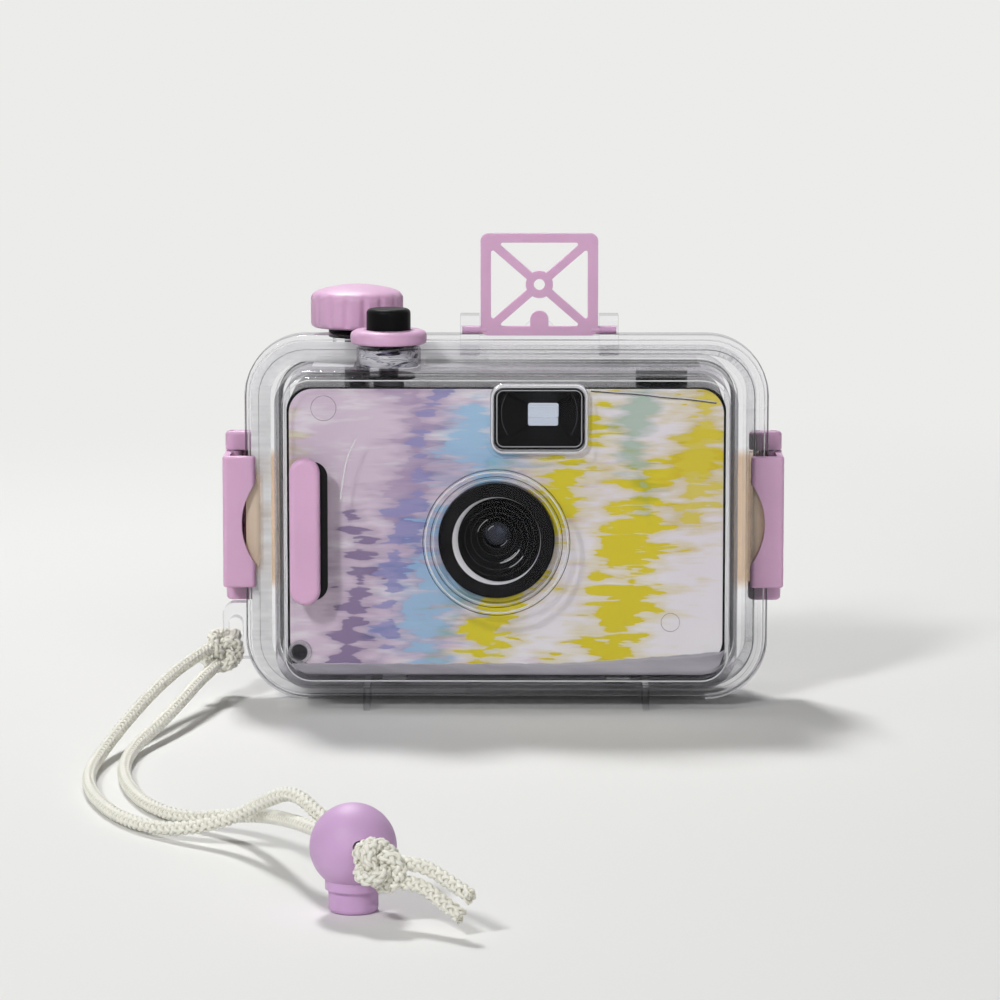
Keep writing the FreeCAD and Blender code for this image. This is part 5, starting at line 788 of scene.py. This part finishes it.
# Dim film for painted highlights on the lens cone's steps.
PAINTED_STEP_HIGHLIGHT = veil("painted_step_highlight", linear(66, 66, 72), share=0.4)

# Places on the clear moulding, in millimetres: outlines that its edges follow, the lens's middle, depths of
# its faces, and the upright axes of the wind knob and the release button.
FLANGE = {"x": 0.0, "z": 46.4, "half_width": 66.0, "half_height": 46.4, "corner": 15.5}
POCKET = {"x": 0.0, "z": 46.1, "half_width": 57.5, "half_height": 40.1, "corner": 9.0}
FINDER = {"x": 8.2, "z": 74.0, "half_width": 12.2, "half_height": 8.7, "corner": 3.4}
LENS = (-2.4, 43.6)
FLANGE_FACE = -3.0
WINDOW_FACE = -24.0
PORT_FACE = -25.6
WIND_AXIS = (-38.0, 9.5)
RELEASE_AXIS = (-29.3, -13.0)


def inset(window, by, y):
    """The window's outline drawn in by so many millimetres, at depth y."""
    smaller = dict(window)
    smaller["half_width"] -= by
    smaller["half_height"] -= by
    smaller["corner"] = max(0.6, smaller["corner"] - by)
    return outline_window(**smaller, y=y)


def painted_edge_lines():
    """Painted highlights and painted shade along the edges of the clear moulding."""
    fine, middling, broad = 0.10, 0.17, 0.55
    rim = FLANGE_FACE + 0.05
    # Each row has an outline drawn in, or a circle, at a depth, then the bead's width and thickness. The
    # bright rows are painted highlights, the dark rows painted shade.
    bright = [
        bead(inset(FLANGE, 1.1, rim), middling, fine),
        bead(inset(POCKET, -0.6, rim), middling, fine),
        bead(inset(POCKET, 2.5, WINDOW_FACE + 0.4), middling, fine),
        bead(inset(FINDER, 0.5, WINDOW_FACE), middling, fine),
        bead(inset(FINDER, 1.7, WINDOW_FACE + 2.7), fine, fine),
        bead(outline_circle(*LENS, 17.6, PORT_FACE), middling, fine),
        bead(outline_circle(*LENS, 15.7, PORT_FACE + 0.7), fine, fine),
    ]
    dark = [
        bead(inset(FLANGE, 0.1, 1.5), fine, fine),
        bead(inset(FLANGE, 3.6, rim), fine, fine),
        bead(inset(POCKET, 0.4, 1.2), broad, fine),
        bead(inset(FINDER, 1.0, WINDOW_FACE + 0.1), fine, fine),
        bead(outline_circle(*LENS, 18.2, PORT_FACE + 0.1), fine, fine),
        bead(outline_circle(*LENS, 16.4, PORT_FACE + 1.0), fine, fine),
    ]
    housed("painted_mould_highlights", bright, PAINTED_HIGHLIGHT)
    housed("painted_mould_shades", dark, PAINTED_SHADE)


# Thickness of the pale and tinted films.
FILM = 0.05


def painted_light_film():
    """Pale film of painted light, streaked and stronger towards the left, the lit side."""
    m = Material("painted_rim_light")
    m.put(Base_Color=linear(246, 246, 248), Roughness=0.3)
    streaks = m.noise(scale=60, detail=3.0, roughness=0.6, vector=m.mapped((0.2, 1, 2.4)))
    # The painted light is strongest at the left.
    left = m.spread(m.split(m.coordinates)["X"], low=0.8, high=0.08, start=-0.056, end=0.030, smooth=True)
    broken = m.spread(streaks, low=0.35, high=1.25, start=0.3, end=0.7)
    m.see_through(WHITE, WHITE, m.math("MULTIPLY", left, broken))
    return m.data


def painted_rim_light():
    """Painted light that the moulding's left and upper edges hold: a pale film inside the rim and on the top
    wall.
    """
    film = painted_light_film()
    near = FLANGE_FACE - 0.03
    far = near + FILM
    outer, inner = 1.6, 6.6
    loops = [inset(FLANGE, by, y) for by, y in ((outer, near), (inner, near), (inner, far), (outer, far))]
    verts = [v for loop in loops for v in loop]
    housed("painted_rim_light", [(verts, skin(4, len(loops[0])))], film, crease=40)
    pocket_top = POCKET["z"] + POCKET["half_height"]
    low, high, cut = pocket_top + FILM, pocket_top + 1.5, 0.7
    front_edge, back_edge = -15.0, FLANGE_FACE - 0.1
    # Painted highlight strips on the top wall, either side of the release boss.
    for left, right in ((-48.3, -38.0), (-20.6, 48.3)):
        rise = [(left, low), (right, low), (right - cut, high), (left + cut, high)]
        run = [(left, front_edge), (right, front_edge), (right, back_edge), (left, back_edge)]
        verts, faces = slab(run, pocket_top, low)
        laid = [Vector((v.x, v.z, v.y)) for v in verts]
        housed("painted_top_light", [slab(rise, near - FILM, near), (laid, faces)], film, crease=40)


def painted_latch_light():
    """Painted warm light from the latches in the rim beside them: a tinted film behind each lever's notch."""
    inner, outer, low, high = 61.4, 65.8, 31.0, 60.5
    end_fade, inner_fade = 6.0, 2.2
    m = Material("painted_latch_light")
    stripes = m.noise(scale=500, vector=m.mapped((1, 1, 0.03)))
    # Peach shades of the painted light.
    shades = [(0.3, linear(232, 204, 178)), (0.7, linear(244, 228, 208))]
    m.put(Base_Color=m.ramp(stripes, shades), Roughness=0.4)
    place = m.split(m.coordinates)
    level = m.between(place["Z"], low * MM, high * MM, end_fade * MM, smooth=True)
    off_middle = m.math("ABSOLUTE", place["X"])
    across = m.spread(off_middle, 0.1, 0.8, inner * MM, (inner + inner_fade) * MM, smooth=True)
    m.see_through(WHITE, WHITE, m.math("MULTIPLY", level, across))
    near = FLANGE_FACE - 0.1
    for side in (-1, 1):
        patch = [(side * x, z) for x, z in ((inner, low), (outer, low), (outer, high), (inner, high))]
        housed("painted_latch_light", [slab(patch, near, near + FILM)], m.data, crease=40)


def window_marks():
    """Pin mark, gate mark and a painted highlight along a soft crease on the front window."""
    marks = [
        bead(outline_circle(-45.1, 76.9, 3.1, WINDOW_FACE), 0.08, 0.04),
        bead(outline_circle(40.8, 23.4, 2.3, WINDOW_FACE), 0.06, 0.04),
    ]
    housed("pin_marks", marks, FAINT_MARKS_AND_PAINTED_GLINTS)
    # Painted highlight along the crease.
    route = [(-36.9, 69.4), (-38.8, 66.5), (-40.2, 61.0), (-41.1, 54.0)]
    crease = smooth_line([(x, WINDOW_FACE - 0.05, z) for x, z in route])
    housed("crease", [bead(crease, 0.16, 0.05, closed=False)], PAINTED_HIGHLIGHT)


# The camera's lower front edge, which the hem follows, and the hem itself.
CAMERA_HALF = 54.5
CAMERA_BASE = 9.5
CAMERA_CORNER = 6.0
SHEET_FACE = -19.9
SHEET_THICKNESS = 0.12
HEM_TOP = 12.25
CURL_START = 12.0
CURL_RUN = 42.0
CURL_RISE = 3.1


def sheet_back():
    """Greyish lilac film with level streaks."""
    m = Material("sheet_back")
    streaks = m.noise(scale=70, detail=3.0, roughness=0.6, vector=m.mapped((0.12, 1, 1.6)))
    shades = [(0.3, linear(142, 138, 148)), (0.55, linear(178, 174, 182)), (0.75, linear(206, 203, 209))]
    m.put(Base_Color=m.ramp(streaks, shades), Roughness=0.35)
    m.see_through(WHITE, WHITE, (0.9, 0.95, 1.0))
    return m.data


def hem_limits(x):
    """Height of the hem's foot on the camera's rounded base, and of its edge, which curls up at the right."""
    over = max(0.0, abs(x) - (CAMERA_HALF - CAMERA_CORNER))
    base = CAMERA_BASE + CAMERA_CORNER - math.sqrt(CAMERA_CORNER ** 2 - over ** 2)
    curl = max(0.0, (x - CURL_START) / CURL_RUN) ** 1.2 * CURL_RISE
    ripple = 0.08 * math.sin(x * 0.9) + 0.06 * math.sin(x * 2.3)
    return base, max(base + 0.3, HEM_TOP + curl + ripple)


def loose_sheet():
    """The printed sheet's free lower hem, which stands off the camera below the print, with a painted
    highlight along its top, and a painted highlight and painted shade along the creased edge of its upper
    right corner."""
    steps, rows = 90, 5
    verts, hem = [], []
    for i in range(steps + 1):
        x = CAMERA_HALF * (2 * i / steps - 1)
        base, top = hem_limits(x)
        section = []
        for k in range(rows + 1):
            z = base + (top - base) * k / rows
            wave = 0.10 * math.sin(x * 0.35 + k) + 0.05 * math.sin(x * 1.1 + 2 * k)
            section.append((SHEET_FACE + wave, z))
        section += [(y - SHEET_THICKNESS, z) for y, z in reversed(section)]
        verts += [Vector((x, y, z)) * MM for y, z in section]
        hem.append(Vector((x, SHEET_FACE - SHEET_THICKNESS, top)) * MM)
    housed("sheet_hem", [(verts, skin(steps + 1, 2 * (rows + 1), closed=False))], sheet_back())
    # Painted highlight along the hem's top edge.
    housed("hem_painted_highlight", [bead(hem[2:-2], 0.09, 0.06, closed=False)], PAINTED_HIGHLIGHT)
    route = [(21.0, 0.0, 81.0), (27.0, -0.3, 80.5), (33.0, 0.0, 80.2), (39.0, -0.3, 79.4), (45.0, 0.0, 79.0),
             (52.0, 0.0, 78.0)]
    fold = smooth_line([(x, SHEET_FACE + off, z) for x, off, z in route])
    # Painted shade just below the fold's painted highlight.
    below = [place - Vector((0, 0, 0.28)) * MM for place in fold]
    housed("fold_painted_highlight", [bead(fold, 0.16, 0.08, closed=False)], PAINTED_HIGHLIGHT)
    housed("fold_painted_shade", [bead(below, 0.14, 0.05, closed=False)], PAINTED_SHADE)


def turned(profile, x, y, steps=128, flute=None):
    """Points and faces of a closed profile of (radius, height) turned about an upright axis.

    flute says how far the side is drawn in at a height and an angle.
    """
    verts = []
    for i in range(steps):
        a = 2 * math.pi * i / steps
        for radius, z in profile:
            r = radius - (flute(z, a) if flute else 0)
            verts.append(Vector((x + r * math.cos(a), y + r * math.sin(a), z)) * MM)
    return verts, skin(steps, len(profile))


def facing_front(profile, x, y, z, steps):
    """The same with an axis that points to the front, from a place in millimetres."""
    verts, faces = turned(profile, 0, 0, steps)
    return [Vector((v.x, -v.z, v.y)) + Vector((x, y, z)) * MM for v in verts], faces


def wind_knob():
    """Domed knob whose flutes die out under the dome."""
    flutes, depth, sharpness = 16, 0.5, 1.6
    foot, foot_fade = 94.2, 0.8
    shoulder, shoulder_fade = 102.6, 1.6

    def flute(z, angle):
        fade = min(1.0, max(0.0, (z - foot) / foot_fade)) * min(1.0, max(0.0, (shoulder - z) / shoulder_fade))
        return depth * fade * max(0.0, math.cos(flutes * angle + math.pi)) ** sharpness

    side, low, high, rows = 11.7, 95.0, 101.2, 12
    profile = [(2.2, 94.0), (10.9, 93.9), (11.5, 94.3)]
    profile += [(side, low + (high - low) * i / rows) for i in range(rows + 1)]
    profile += [(11.6, 101.6), (11.35, 102.1), (10.8, 102.65), (10.0, 103.05), (8.6, 103.5), (6.6, 103.95),
                (4.4, 104.3), (2.2, 104.52), (0.02, 104.6), (0.02, 101.2), (2.2, 101.1)]
    grip = turned(profile, *WIND_AXIS, steps=192, flute=flute)
    piece = housed("wind_grip", [grip], SLOTS["pink_plastic"], crease=50)
    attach(piece, "wind")
    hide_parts("wind_knob")


def shutter_collar():
    """Soft-edged ring round the button, with its clear seat and a dark ring in that."""
    ring = [(6.75, 91.9), (8.8, 91.9), (9.2, 92.05), (9.42, 92.4), (9.5, 92.9), (9.5, 93.8), (9.38, 94.4),
            (9.0, 94.9), (8.3, 95.25), (7.3, 95.38), (6.0, 95.4), (5.7, 95.3), (5.6, 95.05), (5.6, 93.5),
            (6.75, 93.3)]
    seat = [(6.75, 90.8), (7.75, 90.8), (7.75, 91.92), (6.75, 91.92)]
    gasket = [(6.7, 91.4), (7.15, 91.4), (7.15, 91.88), (6.7, 91.88)]
    for name, profile, slot in (
        ("button_ring", ring, "pink_plastic"),
        ("button_ring_seat", seat, "clear_plastic"),
        ("button_ring_dark_band", gasket, "black_rubber"),
    ):
        piece = housed(name, [turned(profile, *RELEASE_AXIS)], SLOTS[slot], crease=50)
        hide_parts("shutter_collar")


def boss_swirl():
    """Bent light and dark streaks inside the clear release boss: painted highlights and painted shade that
    stand in for light refracted through it.
    """
    m = Material("painted_boss_refraction")
    streaks = m.noise(scale=250, detail=1.0, vector=m.mapped((0.5, 0.5, 2.6)), distortion=1.6)
    shades = [(0.34, linear(24, 24, 34)), (0.40, linear(150, 146, 172)), (0.45, linear(240, 240, 244)),
              (0.56, linear(252, 252, 253)), (0.60, linear(120, 118, 140)), (0.64, linear(230, 230, 238))]
    m.put(Base_Color=m.ramp(streaks, shades), Roughness=0.25)
    m.see_through(tint=(0.9, 0.9, 0.92, 1), edge_tint=(0.7, 0.7, 0.72, 1), shine=(0.6, 0.66, 0.8))
    profile = [(7.1, 86.3), (7.3, 86.3), (7.3, 90.5), (7.1, 90.5)]
    housed("boss_swirl", [turned(profile, *RELEASE_AXIS, steps=96)], m.data)


def lens_bevel():
    """Silvered edge in the black ring, drawn as a white painted highlight: wide at its lit side and a
    hairline at the other.
    """
    radius, narrow, more, swell = 11.0, 0.08, 1.35, 1.6
    thin_side, steps = math.radians(14), 120
    verts = []
    for i in range(steps):
        a = 2 * math.pi * i / steps
        width = narrow + more * (0.5 - 0.5 * math.cos(a - thin_side)) ** swell
        for inward, y in ((0, -22.55), (width / 2, -22.35), (width, -21.6), (0, -20.0)):
            r = radius - inward
            verts.append(Vector((LENS[0] + r * math.cos(a), y, LENS[1] + r * math.sin(a))) * MM)
    bevel = housed("bevel", [(verts, skin(steps, 4))], PAINTED_SILVER_HIGHLIGHT, crease=60)
    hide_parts("lens_bezel")


def lens_dome():
    """Domed front glass."""
    seat = -10.65
    profile = [(4.4, 0.0), (4.3, 0.6), (3.9, 1.15), (3.3, 1.7), (2.5, 2.2), (1.5, 2.55), (0.7, 2.7),
               (0.02, 2.75), (0.02, -0.4), (4.2, -0.4)]
    dome = facing_front(profile, LENS[0], seat, LENS[1], steps=96)
    glass = housed("front_glass", [dome], SLOTS["lens_glass"], crease=60)
    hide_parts("lens_element")


def lens_lines():
    """Dim painted highlights on the edges of the cone's steps, and painted bent highlights on the steps and
    the glass.
    """
    edges = [(9.35, -19.22), (7.9, -18.92), (6.4, -17.26), (4.88, -15.58), (3.4, -13.92)]
    rings = [bead(outline_circle(*LENS, radius, y), 0.09, 0.05) for radius, y in edges]
    housed("painted_cone_highlights", rings, PAINTED_STEP_HIGHLIGHT)
    # Each arc has a radius, a depth, a start and an end, then the bead's width and thickness.
    glints = [
        bead(arc(*LENS, 6.4, -17.3, -82, -28), 0.13, 0.06, closed=False),
        bead(arc(*LENS, 6.05, -17.0, -72, -38), 0.07, 0.05, closed=False),
        bead(arc(*LENS, 7.9, -18.96, -66, -34), 0.08, 0.05, closed=False),
        bead(arc(*LENS, 4.88, -15.62, 118, 165), 0.06, 0.05, closed=False),
        bead(arc(*LENS, 2.5, -12.95, 108, 150, 8), 0.11, 0.05, closed=False),
        bead(arc(*LENS, 2.9, -12.7, -70, -25, 8), 0.05, 0.05, closed=False),
    ]
    housed("painted_lens_glints", glints, PAINTED_HIGHLIGHT)


def finder_tunnel():
    """Bright lining of the passage behind the finder's front lens, and painted bent glints on that lens."""
    left, right, low, high = 3.05, 13.35, 70.28, 77.72
    front, rear, wall = -10.4, 10.9, 0.1
    verts = []
    for y, e in ((front, 0.0), (front, wall), (rear, wall), (rear, 0.0)):
        for x, z in ((left + e, low + e), (right - e, low + e), (right - e, high - e), (left + e, high - e)):
            verts.append(Vector((x, y, z)) * MM)
    lining = metal("polished_lining", linear(244, 244, 245), roughness=0.06)
    housed("finder_tunnel", [(verts, skin(4, 4))], lining, crease=30)
    # Painted glints on the finder's front lens.
    spans = ((146, 214), (-34, 34), (-112, -68))
    curves = [bead(arc(FINDER["x"], 75.2, 9.4, -20.9, *span), 0.06, 0.05, closed=False) for span in spans]
    housed("painted_finder_glints", curves, FAINT_MARKS_AND_PAINTED_GLINTS)


def screw_well():
    """Pale countersunk washer round the camera's screw."""
    profile = [(1.75, 0.0), (1.75, 0.3), (2.3, 0.75), (2.75, 0.75), (2.95, 0.45), (2.95, 0.0)]
    foot = (-51.4, -19.75, 15.2)
    washer = facing_front(profile, *foot, steps=64)
    housed("screw_well", [washer], SLOTS["silicone"], crease=40)


painted_edge_lines()
painted_rim_light()
painted_latch_light()
window_marks()
loose_sheet()
wind_knob()
shutter_collar()
boss_swirl()
lens_bevel()
lens_dome()
lens_lines()
finder_tunnel()
screw_well()


# Stage and light

PAPER = linear(233, 233, 231)
ROOM_TONE = linear(236, 236, 234)

# Distances from the object at which the paper's even tone starts and is full.
NEAR, FAR = 0.30, 0.75


def paper():
    """Pale paper: lit near the object, and an even pale tone to the eye far away from it."""
    m = Material("paper")
    m.put(Base_Color=PAPER, Roughness=m.spread(m.noise(scale=6, detail=3.0), low=0.75, high=0.85))
    m.put(Specular_IOR_Level=0.1)
    reach = m.add("ShaderNodeVectorMath", operation="DISTANCE")
    m.link(m.coordinates, reach.inputs[0])
    reach.inputs[1].default_value = (0, -0.12, 0)
    far = m.spread(reach.outputs["Value"], 0, 1, NEAR, FAR, smooth=True)
    even = m.add("ShaderNodeEmission")
    even.inputs["Color"].default_value = ROOM_TONE
    share = m.math("MULTIPLY", far, m.to_the_eye())
    m.blend(share, m.shader.outputs["BSDF"], even.outputs["Emission"])
    return m.data


def backdrop():
    """Paper that ends in front of the object and curves up into a wall behind it."""
    half_width, front, middle, flat, bend, top = 3.0, -0.46, 0.4, 2.0, 1.2, 4.0
    profile = [(front, 0.0), (middle, 0.0), (flat, 0.0)]
    steps = 8
    for i in range(1, steps + 1):
        a = math.pi / 2 * i / steps
        profile.append((flat + bend * math.sin(a), bend - bend * math.cos(a)))
    profile.append((flat + bend, top))
    verts = [(x, y, z) for y, z in profile for x in (-half_width, half_width)]
    faces = [(2 * i, 2 * i + 1, 2 * i + 3, 2 * i + 2) for i in range(len(profile) - 1)]
    solid_piece("backdrop", verts, faces, paper())


def area_light(name, place, aim, size, power):
    """Square white light of a size in metres and a power in watts, aimed at a place."""
    data = bpy.data.lights.new(name, "AREA")
    data.size = size
    data.energy = power
    lamp = bpy.data.objects.new(name, data)
    scene.collection.objects.link(lamp)
    lamp.location = place
    direction = Vector(aim) - Vector(place)
    lamp.rotation_euler = direction.to_track_quat("-Z", "Y").to_euler()


def studio_air():
    """Room light: soft from above, weaker to the sides, dark below. To the eye and in gloss the room shows
    the paper's pale tone."""
    world = bpy.data.worlds.new("studio")
    world.use_nodes = True
    n = Nodes(world.node_tree)
    up = n.split(n.add("ShaderNodeTexCoord").outputs["Generated"])["Z"]
    levels = [(0.48, 0.02), (0.56, 0.04), (0.8, 0.09), (1.0, 0.12)]
    stops = [(height, (level * 0.98, level * 0.99, level, 1)) for height, level in levels]
    light = n.ramp(n.spread(up, low=0.0, high=1.0, start=-1.0, end=1.0), stops)
    n.link(n.mix(n.to_the_eye(), light, ROOM_TONE), n.tree.nodes["Background"].inputs["Color"])
    return world


backdrop()
area_light("key", place=(-0.75, -1.25, 1.12), aim=(0, 0, 0.03), size=0.24, power=14.5)
area_light("top_back", place=(-0.22, 0.60, 1.10), aim=(0, -0.05, 0.03), size=0.2, power=10.9)
area_light("fill", place=(0.5, -1.9, 0.75), aim=(0, 0, 0.05), size=1.2, power=8.0)

scene.world = studio_air()
scene.view_settings.view_transform = "Standard"
